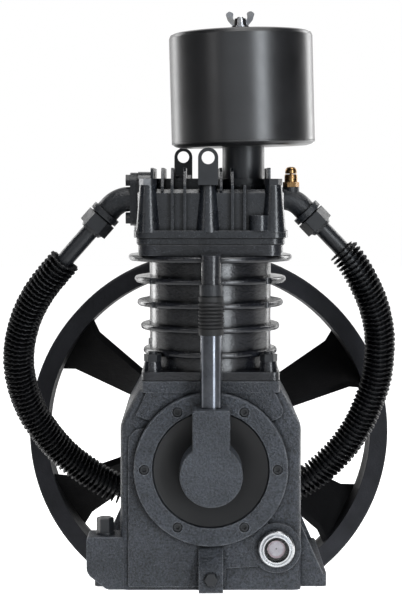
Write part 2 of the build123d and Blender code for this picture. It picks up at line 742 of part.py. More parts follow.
lugged = {(LUG_X, -96): LUG_T, (REAR_LUG_X, 104): LUG_T}
with BuildPart() as head_bolts:
    for x, y in HEAD_BOLTS:
        seat = HEAD_TOP + lugged.get((x, y), 0)
        with BuildSketch(Plane.XY.offset(seat)):
            with Locations((x, y)):
                RegularPolygon(8.5, 6, major_radius=False)
        extrude(amount=7)
        with BuildSketch(Plane.XY.offset(seat)):
            with Locations((x, y)):
                Circle(5)
        extrude(amount=DECK_Z - 11 - seat)
save(head_bolts, "head_bolts")


def lifting_lug(x, bolt_y, strap_y, eye_z):
    """Bent strap: a foot under a head bolt and an upright with a lifting eye."""
    low, high = sorted((strap_y, bolt_y + math.copysign(11, bolt_y - strap_y)))
    face_y = strap_y if bolt_y > strap_y else strap_y - LUG_T
    with BuildPart() as lug:
        with BuildSketch(Plane.XY.offset(HEAD_TOP)):
            with Locations((x, (low + high) / 2)):
                Rectangle(2 * LUG_HALF, high - low)
            with Locations((x, bolt_y)):
                Circle(5.4, mode=Mode.SUBTRACT)
        extrude(amount=LUG_T)
        with BuildSketch(front_plane(face_y + LUG_T)):
            with Locations((x, (HEAD_TOP + eye_z) / 2)):
                Rectangle(2 * LUG_HALF, eye_z - HEAD_TOP)
            with Locations((x, eye_z)):
                Circle(LUG_HALF)
                Circle(7.2, mode=Mode.SUBTRACT)
        extrude(amount=LUG_T)
    return lug


save(lifting_lug(LUG_X, -96, -110, 483), "front_lifting_lug")
save(lifting_lug(REAR_LUG_X, 104, 118, 487), "rear_lifting_lug")

# ---------- intake neck and air filter ----------
CAN_PLANE = Plane(
    origin=CAN_CENTRE,
    x_dir=(math.cos(math.radians(CAN_TILT)), 0, math.sin(math.radians(CAN_TILT))),
    z_dir=(-math.sin(math.radians(CAN_TILT)), 0, math.cos(math.radians(CAN_TILT))),
)
CAN_AXIS = Axis(CAN_PLANE.origin, CAN_PLANE.z_dir)
# Half-section through the canister: local x = radius, local y = height above the pan.
CAN_SECTION = Plane(origin=CAN_CENTRE, x_dir=CAN_PLANE.x_dir, z_dir=(0, -1, 0))
NECK_R = 24.3

with BuildPart() as intake_neck:
    with BuildSketch(Plane.XY.offset(HEAD_TOP)):
        with Locations((CAN_CENTRE[0], CAN_CENTRE[1])):
            Circle(31)
    extrude(amount=7)
    with BuildSketch(Plane.XY.offset(HEAD_TOP)):
        with Locations((CAN_CENTRE[0], CAN_CENTRE[1])):
            Circle(NECK_R)
    extrude(amount=52)
    with BuildSketch(CAN_PLANE):
        Rectangle(80, 80)
    extrude(amount=20, mode=Mode.SUBTRACT)
    with BuildSketch(Plane.XY.offset(HEAD_TOP)):
        with Locations((CAN_CENTRE[0], CAN_CENTRE[1])):
            Circle(19)
    extrude(amount=60, mode=Mode.SUBTRACT)
save(intake_neck, "intake_neck")

with BuildPart() as filter_base:
    with BuildSketch(CAN_SECTION):
        with BuildLine():
            Polyline(
                (19, 0), (74, 0), (79, 1.5), (82, 4), (CAN_R, 4), (CAN_R, 5.2), (80.6, 5.2),
                (80.6, 15), (79, 15), (79, 5), (76, 3), (70, 1.6), (19, 1.6), close=True,
            )
        make_face()
    revolve(axis=CAN_AXIS)
save(filter_base, "filter_base")

with BuildPart() as filter_element:
    with BuildSketch(CAN_PLANE.offset(1.6)):
        Circle(66)
        Circle(40, mode=Mode.SUBTRACT)
    extrude(amount=122)
save(filter_element, "filter_element")

STUD_R = 4.0
with BuildPart() as filter_stud:
    with BuildSketch(CAN_PLANE.offset(1.6)):
        Rectangle(60, 10)
    extrude(amount=4)
    with BuildSketch(CAN_PLANE.offset(1.6)):
        Circle(STUD_R)
    extrude(amount=CAN_TOP + 17)
save(filter_stud, "filter_stud")

with BuildPart() as filter_cover:
    with BuildSketch(CAN_SECTION):
        with BuildLine():
            Polyline(
                (CAN_R, CAN_FOOT), (CAN_R, CAN_TOP - 5), (CAN_R - 1.5, CAN_TOP - 1.5),
                (CAN_R - 5, CAN_TOP), (34, CAN_TOP), (14, CAN_TOP + 6.5), (STUD_R + 0.4, CAN_TOP + 6.5),
                (STUD_R + 0.4, CAN_TOP + 4.5), (13.5, CAN_TOP + 4.5), (33.5, CAN_TOP - 1.6),
                (CAN_R - 5.5, CAN_TOP - 1.6), (CAN_R - 2, CAN_TOP - 5), (CAN_R - 1.6, CAN_FOOT),
                close=True,
            )
        make_face()
    revolve(axis=CAN_AXIS)
save(filter_cover, "filter_cover")

with BuildPart() as wing_nut:
    with BuildSketch(CAN_SECTION):
        with BuildLine():
            Polyline(
                (STUD_R + RUN_GAP, CAN_TOP + 6.5), (11, CAN_TOP + 6.5), (11, CAN_TOP + 8.5),
                (7.5, CAN_TOP + 8.5), (6.5, CAN_TOP + 17), (STUD_R + RUN_GAP, CAN_TOP + 17),
                close=True,
            )
        make_face()
    revolve(axis=CAN_AXIS)
    for side in (-1, 1):
        with BuildSketch(Plane(origin=CAN_SECTION.origin + Vector(0, -1.7, 0), x_dir=CAN_PLANE.x_dir,
                               z_dir=(0, -1, 0))):
            with BuildLine():
                FilletPolyline(
                    (side * 5, CAN_TOP + 8.6), (side * 9.5, CAN_TOP + 9.2), (side * 14.5, CAN_TOP + 15),
                    (side * 16.8, CAN_TOP + 22.5), (side * 12.5, CAN_TOP + 25.5),
                    (side * 7.6, CAN_TOP + 23.5), (side * 8.4, CAN_TOP + 17), (side * 5, CAN_TOP + 13.5),
                    radius=[0, 3, 6, 2.4, 2.4, 2.4, 3, 0], close=True,
                )
            make_face()
        extrude(amount=-3.4)
save(wing_nut, "wing_nut")


# ---------- elbows and intercooler ----------
def elbow_path(side, start_x):
    """Centre line of an elbow: out of the head, then round and down to its nut."""
    corner = LEFT_CORNER if side < 0 else RIGHT_CORNER
    end = side_point(side, 33)
    return [(start_x, corner[1], corner[2]), corner, (end.X, end.Y, end.Z)]


def elbow_body(side, start_x, outer_r):
    """Elbow tube with its collar and the thread for the tube nut, not yet bored."""
    with BuildPart() as body:
        with BuildLine():
            path = FilletPolyline(*elbow_path(side, start_x), radius=[BEND_R])
        with BuildSketch(Plane(origin=path @ 0, x_dir=(0, 1, 0), z_dir=path % 0)):
            Circle(outer_r)
        sweep()
        with BuildSketch(side_plane(side, 20)):
            Circle(18)
        extrude(amount=7)
    return body.part


def elbow_bore(side, start_x):
    """Gas passage through an elbow, with the socket that the tube end sits in."""
    with BuildPart() as bore:
        with BuildLine():
            path = FilletPolyline(*elbow_path(side, start_x), radius=[BEND_R])
        with BuildSketch(Plane(origin=path @ 0, x_dir=(0, 1, 0), z_dir=path % 0)):
            Circle(9)
        sweep()
        with BuildSketch(side_plane(side, 25)):
            Circle(TUBE_R)
        extrude(amount=10)
    return bore.part


LEFT_FACE = -HEAD_HALF - 1
RIGHT_FACE = HEAD_HALF + 1.2
with BuildPart() as left_elbow:
    add(elbow_body(-1, LEFT_FACE, 14.5))
    with BuildSketch(Plane.YZ.offset(LEFT_FACE)):
        with Locations((LEFT_CORNER[1], LEFT_PORT_Z)):
            SlotOverall(62, 29, rotation=90)
    extrude(amount=-8)
    add(elbow_bore(-1, LEFT_FACE), mode=Mode.SUBTRACT)
    with BuildSketch(Plane.YZ.offset(LEFT_FACE)):
        with Locations((LEFT_CORNER[1], LEFT_PORT_Z + 22), (LEFT_CORNER[1], LEFT_PORT_Z - 22)):
            Circle(4.3)
    extrude(amount=-8, mode=Mode.SUBTRACT)
    with BuildSketch(Plane.YZ.offset(LEFT_FACE - 8)):
        with Locations((LEFT_CORNER[1], LEFT_PORT_Z + 22), (LEFT_CORNER[1], LEFT_PORT_Z - 22)):
            Circle(8.2)
    extrude(amount=-7, mode=Mode.SUBTRACT)
save(left_elbow, "left_elbow")

with BuildPart() as left_elbow_gasket:
    with BuildSketch(Plane.YZ.offset(LEFT_FACE)):
        with Locations((LEFT_CORNER[1], LEFT_PORT_Z)):
            SlotOverall(61, 28, rotation=90)
            Circle(10, mode=Mode.SUBTRACT)
        with Locations((LEFT_CORNER[1], LEFT_PORT_Z + 22), (LEFT_CORNER[1], LEFT_PORT_Z - 22)):
            Circle(4.3, mode=Mode.SUBTRACT)
    extrude(amount=1)
save(left_elbow_gasket, "left_elbow_gasket")

with BuildPart() as left_elbow_bolts:
    with BuildSketch(Plane.YZ.offset(LEFT_FACE - 8)):
        with Locations((LEFT_CORNER[1], LEFT_PORT_Z + 22), (LEFT_CORNER[1], LEFT_PORT_Z - 22)):
            RegularPolygon(6.5, 6, major_radius=False)
    extrude(amount=-5.5)
    with BuildSketch(Plane.YZ.offset(LEFT_FACE - 8)):
        with Locations((LEFT_CORNER[1], LEFT_PORT_Z + 22), (LEFT_CORNER[1], LEFT_PORT_Z - 22)):
            Circle(4)
    extrude(amount=20)
save(left_elbow_bolts, "left_elbow_bolts")

VALVE_X = RIGHT_CORNER[0] - 3
VALVE_Y = RIGHT_CORNER[1]
VALVE_Z = 450.0
with BuildPart() as right_elbow:
    add(elbow_body(1, RIGHT_FACE, 13.5))
    with BuildSketch(Plane(origin=(VALVE_X, VALVE_Y, RIGHT_PORT_Z))):
        Circle(10)
    extrude(amount=VALVE_Z - RIGHT_PORT_Z)
    add(elbow_bore(1, RIGHT_FACE), mode=Mode.SUBTRACT)
    with BuildSketch(Plane(origin=(VALVE_X, VALVE_Y, RIGHT_PORT_Z))):
        Circle(5)
    extrude(amount=VALVE_Z - RIGHT_PORT_Z, mode=Mode.SUBTRACT)
save(right_elbow, "right_elbow")


def tube_nut(side):
    """Union nut: hexagon with a groove, a nose, and a bore over the elbow's thread."""
    thread_r = 14.5 if side < 0 else 13.5
    with BuildPart() as nut:
        with BuildSketch(side_plane(side, 29)):
            RegularPolygon(16, 6, major_radius=False, rotation=30)
        extrude(amount=17)
        with BuildSketch(side_plane(side, 46)):
            Circle(14.5)
        extrude(amount=4, taper=30)
        with BuildSketch(side_plane(side, 29)):
            Circle(thread_r)
        extrude(amount=4, mode=Mode.SUBTRACT)
        with BuildSketch(side_plane(side, 29)):
            Circle(TUBE_R)
        extrude(amount=21, mode=Mode.SUBTRACT)
    return nut


save(tube_nut(-1), "left_tube_nut")
save(tube_nut(1), "right_tube_nut")

# Corners of the intercooler's route, from the left nut round behind the crankcase.
LOOP_CORNERS = [
    (-213, 16, 314), (-234, 46, 248), (-225, 74, 184), (-188, 101, 122),
    (-132, 119, 77), (-68, 125.5, 54), (0, 125.5, 48.5), (68, 125.5, 55), (128, 121, 81),
    (180, 106, 137), (209, 86, 211), (209, 66, 288),
]
# Where the tube first bends, measured from each elbow's corner.
FIRST_BEND = {-1: 92.0, 1: 108.0}


def loop_radii(points):
    """Largest tangent arc at each inner corner: 0.45 of the shorter run beside it."""
    radii = []
    for before, here, after in zip(points, points[1:], points[2:]):
        run_in = Vector(*here) - Vector(*before)
        run_out = Vector(*after) - Vector(*here)
        shorter = min(run_in.length, run_out.length)
        radii.append(0.45 * shorter / math.tan(math.radians(run_in.get_angle(run_out) / 2)))
    return radii


def loop_ends(distance):
    """The route cut off at the given distance from both elbow corners."""
    left = [tuple(side_point(-1, along)) for along in (distance, FIRST_BEND[-1])]
    right = [tuple(side_point(1, along)) for along in (FIRST_BEND[1], distance)]
    return [*left, *LOOP_CORNERS, *right]


LOOP_RADII = loop_radii(loop_ends(33))


def loop_ring(distance, outer_r, inner_r):
    """Hollow round section swept along the route."""
    with BuildPart() as ring:
        with BuildLine():
            path = FilletPolyline(*loop_ends(distance), radius=LOOP_RADII)
        with BuildSketch(Plane(origin=path @ 0, z_dir=path % 0)):
            Circle(outer_r)
            Circle(inner_r, mode=Mode.SUBTRACT)
        sweep()
    return ring


save(loop_ring(33, TUBE_R - 0.1, 8), "intercooler_tube")

# The finned length starts and ends short of the nuts.
BARE_START = 60.0
FIN_START = {-1: 95.0, 1: 84.0}
with BuildPart() as intercooler_fins:
    add(loop_ring(BARE_START, FIN_R, TUBE_R + 0.3).part)
    for side, distance in FIN_START.items():
        with BuildSketch(side_plane(side, BARE_START - 1)):
            Circle(FIN_R + 6)
        extrude(amount=distance - BARE_START + 1, mode=Mode.SUBTRACT)
save(intercooler_fins, "intercooler_fins")

# ---------- relief valve ----------
VALVE_AXIS = Axis((VALVE_X, VALVE_Y, 0), (0, 0, 1))
VALVE_SECTION = Plane(origin=(VALVE_X, VALVE_Y, VALVE_Z), x_dir=(1, 0, 0), z_dir=(0, -1, 0))
STEM_R = 1.6

with BuildPart() as relief_valve_body:
    with BuildSketch(VALVE_SECTION):
        with BuildLine():
            Polyline(
                (2.5, -7), (5, -7), (5, 0), (7.8, 0), (7.8, 14), (7, 15.4), (STEM_R + RUN_GAP, 15.4),
                (STEM_R + RUN_GAP, 13.4), (5.5, 13.4), (5.5, 2), (2.5, 2), close=True,
            )
        make_face()
    revolve(axis=VALVE_AXIS)
    with BuildSketch(Plane(origin=(VALVE_X, VALVE_Y, VALVE_Z))):
        RegularPolygon(8.6, 6, major_radius=False)
        Circle(7, mode=Mode.SUBTRACT)
    extrude(amount=6)
    # blow-off holes round the barrel
    for turn in range(4):
        outward = Vector(1, 0, 0).rotate(Axis.Z, 35 + 90 * turn)
        with BuildSketch(Plane(origin=(VALVE_X, VALVE_Y, VALVE_Z + 10), z_dir=outward)):
            Circle(1.6)
        extrude(amount=12, mode=Mode.SUBTRACT)
save(relief_valve_body, "relief_valve_body")

with BuildPart() as relief_valve_stem:
    with BuildSketch(VALVE_SECTION):
        with BuildLine():
            Polyline(
                (0, 2), (4, 2), (4, 3.2), (STEM_R, 3.2), (STEM_R, 16), (6.6, 16), (7, 16.6), (7, 19.5),
            )
            ThreePointArc((7, 19.5), (5.4, 22.8), (1, 24.2))
            Polyline((1, 24.2), (0, 24.2), (0, 2))
        make_face()
    revolve(axis=VALVE_AXIS)
save(relief_valve_stem, "relief_valve_stem")

with BuildPart() as relief_valve_spring:
    with BuildLine():
        coil = Helix(pitch=1.9, height=8.2, radius=4, center=(VALVE_X, VALVE_Y, VALVE_Z + 4.2))
    with BuildSketch(Plane(origin=coil @ 0, z_dir=coil % 0)):
        Circle(0.5)
    sweep()
save(relief_valve_spring, "relief_valve_spring")

# ---------- breather ----------
with BuildPart() as breather_tube:
    with BuildSketch(Plane(origin=(0, BREATHER_Y, NECK_TOP - 9))):
        Circle(11.75)
        Circle(9.5, mode=Mode.SUBTRACT)
    extrude(amount=298 - NECK_TOP + 9)
save(breather_tube, "breather_tube")

with BuildPart() as breather_fitting:
    with BuildSketch(Plane(origin=(0, BREATHER_Y, 320), x_dir=(1, 0, 0), z_dir=(0, -1, 0))):
        with BuildLine():
            Polyline(
                (5.5, 0), (9.5, 0), (11.75, 2), (11.75, 12), (12.6, 12), (12.6, 24), (8, 24),
                (8, 36), (5.5, 36), close=True,
            )
        make_face()
    revolve(axis=Axis((0, BREATHER_Y, 0), (0, 0, 1)))
save(breather_fitting, "breather_fitting")

RIB_COUNT = 7
with BuildPart() as breather_boot:
    with BuildSketch(Plane(origin=(0, BREATHER_Y, 289), x_dir=(1, 0, 0), z_dir=(0, -1, 0))):
        with BuildLine():
            rib_pitch = 28 / RIB_COUNT
            ribs = [(11.8, 0), (13.6, 0), (13.6, 7)]
            for rib in range(RIB_COUNT):
                foot = 7.5 + rib * rib_pitch
                ribs += [(12.6, foot), (14.2, foot + rib_pitch * 0.35), (14.2, foot + rib_pitch * 0.65)]
            ribs += [(12.6, 36.2), (13.6, 36.6), (13.6, 42), (11.8, 42)]
            Polyline(*ribs, close=True)
        make_face()
    revolve(axis=Axis((0, BREATHER_Y, 0), (0, 0, 1)))
save(breather_boot, "breather_boot")

# ---------- crankshaft ----------
PIN_R = 20.0
WEB_R = 24.0
WEIGHT_R = 58.0


def web(y_front, thickness, throw):
    """Crank web with a counterweight on the side away from its pin."""
    with BuildPart() as body:
        with BuildSketch(crank_plane(y_front)):
            Circle(WEB_R)
            with Locations((0, throw)):
                Circle(WEB_R)
            make_hull()
        extrude(amount=-thickness)
        with BuildSketch(crank_plane(y_front)):
            Circle(WEIGHT_R)
            with Locations((0, math.copysign(WEIGHT_R, throw) - throw * 0.4)):
                Rectangle(2 * WEIGHT_R, 2 * WEIGHT_R, mode=Mode.SUBTRACT)
        extrude(amount=-thickness)
    return body.part


def crank_pin(y_front, length, throw, radius):
    """Round length of shaft, offset upwards by throw."""
    with BuildPart() as pin:
        with BuildSketch(crank_plane(y_front)):
            with Locations((0, throw)):
                Circle(radius)
        extrude(amount=-length)
    return pin.part


with BuildPart() as crankshaft:
    add(crank_pin(-111.5, 46, 0, JOURNAL_R))
    add(web(-66, 16, THROW))
    add(crank_pin(-50, 26, THROW, PIN_R))
    add(web(-24, 16, THROW))
    add(crank_pin(-8, 46, 0, 22))
    add(web(38, 14, -THROW))
    add(crank_pin(52, 22, -THROW, PIN_R))
    add(web(74, 13, -THROW))
    add(crank_pin(87, 53, 0, JOURNAL_R))
    add(crank_pin(HUB_FRONT, HUB_REAR - 4 - HUB_FRONT, 0, SHAFT_END_R))
    with BuildSketch(crank_plane(HUB_REAR)):
        Circle(5)
    extrude(amount=34, mode=Mode.SUBTRACT)
    with BuildSketch(crank_plane(HUB_REAR)):
        with Locations((0, SHAFT_END_R)):
            Rectangle(10, 9)
    extrude(amount=44, mode=Mode.SUBTRACT)
save(crankshaft, "crankshaft")

# ---------- flywheel ----------
GROOVE_HALF = 8.3
GROOVE_FLOOR = WHEEL_R - 13
SPOKE_HALF_ANGLE = 9.5
SPOKE_TURN = 27.0


def spoke_section(radius, half_width, angle):
    """Slanted blade section square to a spoke, at a radius from the crank axis."""
    turn = math.radians(angle)
    outward = Vector(math.cos(turn), 0, math.sin(turn))
    centre = Vector(0, 0, CRANK_Z) + outward * radius
    half_t = 4.0
    plane = Plane(origin=centre, x_dir=Vector(-math.sin(turn), 0, math.cos(turn)), z_dir=outward)
    depth = -1 if plane.y_dir.Y < 0 else 1
    near = depth * (WHEEL_FRONT + 6)
    far = depth * (WHEEL_REAR - 6)
    with BuildSketch(plane) as section:
        Polygon(
            (-half_width, near), (-half_width + 2 * half_t, near),
            (half_width, far), (half_width - 2 * half_t, far), align=None,
        )
    return section.sketch


with BuildPart() as flywheel:
    with BuildSketch(CRANK_SECTION):
        middle = (WHEEL_FRONT + WHEEL_REAR) / 2
        with BuildLine():
            Polyline(
                (WHEEL_FRONT, RIM_INNER_R), (WHEEL_FRONT, WHEEL_R - 1.5), (WHEEL_FRONT + 1.5, WHEEL_R),
                (middle - 11 - GROOVE_HALF, WHEEL_R), (middle - 11 - 5, GROOVE_FLOOR),
                (middle - 11 + 5, GROOVE_FLOOR), (middle - 11 + GROOVE_HALF, WHEEL_R),
                (middle + 11 - GROOVE_HALF, WHEEL_R), (middle + 11 - 5, GROOVE_FLOOR),
                (middle + 11 + 5, GROOVE_FLOOR), (middle + 11 + GROOVE_HALF, WHEEL_R),
                (WHEEL_REAR - 1.5, WHEEL_R), (WHEEL_REAR, WHEEL_R - 1.5), (WHEEL_REAR, RIM_INNER_R),
                (middle, RIM_INNER_R - 3), close=True,
            )
        make_face()
        with BuildLine():
            Polyline(
                (HUB_FRONT, 0), (HUB_FRONT, HUB_R - 8), (WHEEL_FRONT + 4, HUB_R),
                (WHEEL_REAR - 4, HUB_R), (HUB_REAR, HUB_R - 4), (HUB_REAR, 0), close=True,
            )
        make_face()
    revolve(axis=CRANK_AXIS)
    for spoke in range(6):
        spoke_angle = SPOKE_TURN + 60 * spoke
        spread = math.tan(math.radians(SPOKE_HALF_ANGLE))
        blade = [
            spoke_section(34, 34 * spread + 5, spoke_angle),
            spoke_section(186, 186 * spread, spoke_angle),
            spoke_section(206, 206 * spread + 9, spoke_angle),
        ]
        loft(blade, ruled=True)
    with BuildSketch(crank_plane(HUB_FRONT)):
        Circle(SHAFT_END_R)
    extrude(amount=-80, mode=Mode.SUBTRACT)
    with BuildSketch(crank_plane(HUB_REAR)):
        with Locations((0, SHAFT_END_R)):
            Rectangle(10, 9)
    extrude(amount=44, mode=Mode.SUBTRACT)
save(flywheel, "flywheel")

with BuildPart() as flywheel_key:
    with BuildSketch(crank_plane(HUB_REAR - 4)):
        with Locations((0, SHAFT_END_R)):
            Rectangle(10, 9)
    extrude(amount=40)
save(flywheel_key, "flywheel_key")

with BuildPart() as flywheel_washer:
    with BuildSketch(crank_plane(HUB_REAR)):
        Circle(26)
        Circle(5.4, mode=Mode.SUBTRACT)
    extrude(amount=-5)
save(flywheel_washer, "flywheel_washer")

with BuildPart() as flywheel_bolt:
    with BuildSketch(crank_plane(HUB_REAR + 5)):
        RegularPolygon(8.5, 6, major_radius=False)
    extrude(amount=-7)
    with BuildSketch(crank_plane(HUB_REAR + 5)):
        Circle(5)
    extrude(amount=35)
save(flywheel_bolt, "flywheel_bolt")


# ---------- pistons, wrist pins and connecting rods ----------
WRIST_R = 9.0
RING_STEPS = (6, 13, 20, 28)


def piston(y, pin_z, bore_r, crown, skirt, cavity_r, boss_gap):
    """Trunk piston with ring grooves, hollow inside, bosses along the crank direction."""
    body_r = bore_r - 0.08
    top = pin_z + crown
    with BuildPart() as body:
        with BuildSketch(Plane.XY.offset(pin_z - skirt)):
            with Locations((0, y)):
                Circle(body_r)
        extrude(amount=crown + skirt)
        with BuildSketch(Plane.XY.offset(pin_z - skirt)):
            with Locations((0, y)):
                Circle(cavity_r)
        extrude(amount=crown + skirt - 9, mode=Mode.SUBTRACT)
        with BuildSketch(front_plane(y - cavity_r - 2)):
            with Locations((0, pin_z)):
                Circle(WRIST_R + 6)
        extrude(amount=-(cavity_r + 2 - boss_gap))
        with BuildSketch(front_plane(y + boss_gap)):
            with Locations((0, pin_z)):
                Circle(WRIST_R + 6)
        extrude(amount=-(cavity_r + 2 - boss_gap))
        for step in RING_STEPS:
            with BuildSketch(Plane.XY.offset(top - step - 3)):
                with Locations((0, y)):
                    Circle(bore_r + 1)
                    Circle(bore_r - 3.5, mode=Mode.SUBTRACT)
            extrude(amount=3, mode=Mode.SUBTRACT)
        with BuildSketch(front_plane(y - bore_r)):
            with Locations((0, pin_z)):
                Circle(WRIST_R)
        extrude(amount=-2 * bore_r, mode=Mode.SUBTRACT)
    return body


def piston_rings(y, pin_z, bore_r, crown):
    """Four rings in their grooves, just clear of the bore."""
    with BuildPart() as rings:
        for step in RING_STEPS:
            with BuildSketch(Plane.XY.offset(pin_z + crown - step - 3)):
                with Locations((0, y)):
                    Circle(bore_r - 0.03)
                    Circle(bore_r - 3.5, mode=Mode.SUBTRACT)
            extrude(amount=3)
    return rings


def wrist_pin(y, pin_z, half_length):
    """Hollow pin joining a piston to its rod."""
    with BuildPart() as pin:
        with BuildSketch(front_plane(y - half_length)):
            with Locations((0, pin_z)):
                Circle(WRIST_R)
                Circle(5, mode=Mode.SUBTRACT)
        extrude(amount=-2 * half_length)
    return pin


def rod_plane(y, big_z):
    """Plane at a rod's mid-depth with its origin at the big end."""
    return Plane(origin=(0, y, big_z), x_dir=(1, 0, 0), z_dir=(0, -1, 0))


BIG_END_R = 31.0
ROD_BOLT_X = 27.0


def connecting_rod(y, big_z, width, small_r):
    """Upper half of the big end, an I-section shank and the small end."""
    with BuildPart() as rod:
        with BuildSketch(rod_plane(y, big_z)):
            Circle(BIG_END_R)
            Rectangle(2 * ROD_BOLT_X + 12, 24)
            with Locations((0, -50)):
                Rectangle(100, 100, mode=Mode.SUBTRACT)
            with BuildLine():
                Polyline(
                    (-17, 15), (17, 15), (small_r - 4, ROD_LENGTH), (4 - small_r, ROD_LENGTH), close=True
                )
            make_face()
        extrude(amount=width / 2, both=True)
        with BuildSketch(rod_plane(y, big_z)):
            with Locations((0, ROD_LENGTH)):
                Circle(small_r)
        extrude(amount=width / 2, both=True)
        for face_y in (y - width / 2, y + width / 2 - 6):
            with BuildSketch(rod_plane(face_y, big_z)):
                with BuildLine():
                    FilletPolyline(
                        (-11, 38), (11, 38), (6, ROD_LENGTH - small_r - 6),
                        (-6, ROD_LENGTH - small_r - 6), radius=4, close=True,
                    )
                make_face()
            extrude(amount=-6, mode=Mode.SUBTRACT)
        with BuildSketch(rod_plane(y, big_z)):
            Circle(PIN_R + RUN_GAP)
            with Locations((0, ROD_LENGTH)):
                Circle(WRIST_R + RUN_GAP)
        extrude(amount=width, both=True, mode=Mode.SUBTRACT)
        with BuildSketch(Plane.XY.offset(big_z)):
            with Locations((-ROD_BOLT_X, y), (ROD_BOLT_X, y)):
                Circle(3)
        extrude(amount=10, mode=Mode.SUBTRACT)
    return rod


def rod_cap(y, big_z, width):
    """Lower half of the big end with its two bolts."""
    with BuildPart() as cap:
        with BuildSketch(rod_plane(y, big_z)):
            Circle(BIG_END_R - 4)
            Rectangle(2 * ROD_BOLT_X + 12, 20)
            Circle(PIN_R + RUN_GAP, mode=Mode.SUBTRACT)
            with Locations((0, 50)):
                Rectangle(100, 100, mode=Mode.SUBTRACT)
        extrude(amount=width / 2, both=True)
        with BuildSketch(Plane.XY.offset(big_z)):
            with Locations((-ROD_BOLT_X, y), (ROD_BOLT_X, y)):
                Circle(3)
        extrude(amount=9.9)
        with BuildSketch(Plane.XY.offset(big_z - 10)):
            with Locations((-ROD_BOLT_X, y), (ROD_BOLT_X, y)):
                RegularPolygon(5, 6, major_radius=False)
        extrude(amount=-4)
    return cap


FIRST_BIG_Z = CRANK_Z + THROW
SECOND_BIG_Z = CRANK_Z - THROW
FIRST_PIN_Z = FIRST_BIG_Z + ROD_LENGTH
SECOND_PIN_Z = SECOND_BIG_Z + ROD_LENGTH
CROWN = DECK_Z - 0.5 - FIRST_PIN_Z

save(piston(FIRST_Y, FIRST_PIN_Z, FIRST_BORE_R, CROWN, 38, 43, 13), "first_stage_piston")
save(piston_rings(FIRST_Y, FIRST_PIN_Z, FIRST_BORE_R, CROWN), "first_stage_piston_rings")
save(wrist_pin(FIRST_Y, FIRST_PIN_Z, 45), "first_stage_wrist_pin")
save(connecting_rod(FIRST_Y, FIRST_BIG_Z, 25.4, 16), "first_stage_connecting_rod")
save(rod_cap(FIRST_Y, FIRST_BIG_Z, 25.4), "first_stage_rod_cap")

save(piston(SECOND_Y, SECOND_PIN_Z, SECOND_BORE_R, CROWN, 34, 22, 11), "second_stage_piston")
save(piston_rings(SECOND_Y, SECOND_PIN_Z, SECOND_BORE_R, CROWN), "second_stage_piston_rings")
save(wrist_pin(SECOND_Y, SECOND_PIN_Z, 23), "second_stage_wrist_pin")
save(connecting_rod(SECOND_Y, SECOND_BIG_Z, 21.4, 15), "second_stage_connecting_rod")
save(rod_cap(SECOND_Y, SECOND_BIG_Z, 21.4), "second_stage_rod_cap")
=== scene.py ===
"""Looks and stage for the two-stage compressor pump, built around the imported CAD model."""
import json
import math
import random

import bmesh
import bpy
from mathutils import Matrix, Vector


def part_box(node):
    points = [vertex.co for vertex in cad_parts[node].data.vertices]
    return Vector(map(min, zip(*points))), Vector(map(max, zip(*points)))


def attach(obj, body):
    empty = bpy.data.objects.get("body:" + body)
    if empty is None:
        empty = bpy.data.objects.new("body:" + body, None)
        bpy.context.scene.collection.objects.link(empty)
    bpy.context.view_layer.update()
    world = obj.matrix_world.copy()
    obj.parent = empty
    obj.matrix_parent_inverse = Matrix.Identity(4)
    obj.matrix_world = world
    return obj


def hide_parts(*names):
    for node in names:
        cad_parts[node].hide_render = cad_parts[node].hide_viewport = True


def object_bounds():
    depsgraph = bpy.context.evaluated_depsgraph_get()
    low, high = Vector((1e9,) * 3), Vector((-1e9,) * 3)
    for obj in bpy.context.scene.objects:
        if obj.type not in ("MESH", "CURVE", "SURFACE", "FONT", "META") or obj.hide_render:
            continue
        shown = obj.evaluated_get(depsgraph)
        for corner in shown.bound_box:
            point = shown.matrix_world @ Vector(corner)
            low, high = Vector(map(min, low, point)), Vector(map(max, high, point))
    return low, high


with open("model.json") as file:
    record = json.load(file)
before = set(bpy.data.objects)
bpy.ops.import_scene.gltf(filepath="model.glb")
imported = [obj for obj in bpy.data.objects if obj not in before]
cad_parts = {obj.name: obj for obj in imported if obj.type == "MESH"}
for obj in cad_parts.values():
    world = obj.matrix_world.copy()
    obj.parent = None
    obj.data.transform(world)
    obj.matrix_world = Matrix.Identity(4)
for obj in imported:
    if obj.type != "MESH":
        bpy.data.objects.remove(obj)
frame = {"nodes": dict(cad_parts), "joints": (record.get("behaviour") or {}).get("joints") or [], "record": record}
CAD_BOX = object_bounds()

NODES = frame["nodes"]
JOINTS = {joint["name"]: joint for joint in frame["joints"]}
CRANK_AT = Vector(JOINTS["crank_spin"]["pos_m"])
CAN_AT = Vector(JOINTS["wing_nut_turn"]["pos_m"])
CAN_UP = Vector(JOINTS["filter_cover_lift"]["axis"]).normalized()
MM = 0.001
random.seed(7)

# Most values of a noise texture lie between these two.
SPREAD = (0.3, 0.7)
# Noise scales shared by the castings, from fine to coarse.
SPECK_SCALE = 800.0
PEBBLE_SCALE = 420.0
DENT_SCALE = 120.0
# How far the painted shade in corners and seams reaches from them.
SHADE_REACH = 6 * MM
# Distances from the crank's axis between which the flywheel is blades, which are painted in shade, each as (none,
# all).
BLADES_BEGIN = (0.048, 0.052)
BLADES_END = (0.2070, 0.2040)
# The front cover's turned dish: its edge's radius, and the height of its face along Y, each as (none, all).
DISH_EDGE = (0.0655, 0.0635)
DISH_FACE = (-0.1219, -0.1210)


# ---------- small tools ----------
def new_piece(name, mesh, material, smooth=True):
    """A mesh object in the scene with one material."""
    mesh.materials.append(material)
    mesh.polygons.foreach_set("use_smooth", [smooth] * len(mesh.polygons))
    piece = bpy.data.objects.new(name, mesh)
    bpy.context.scene.collection.objects.link(piece)
    return piece


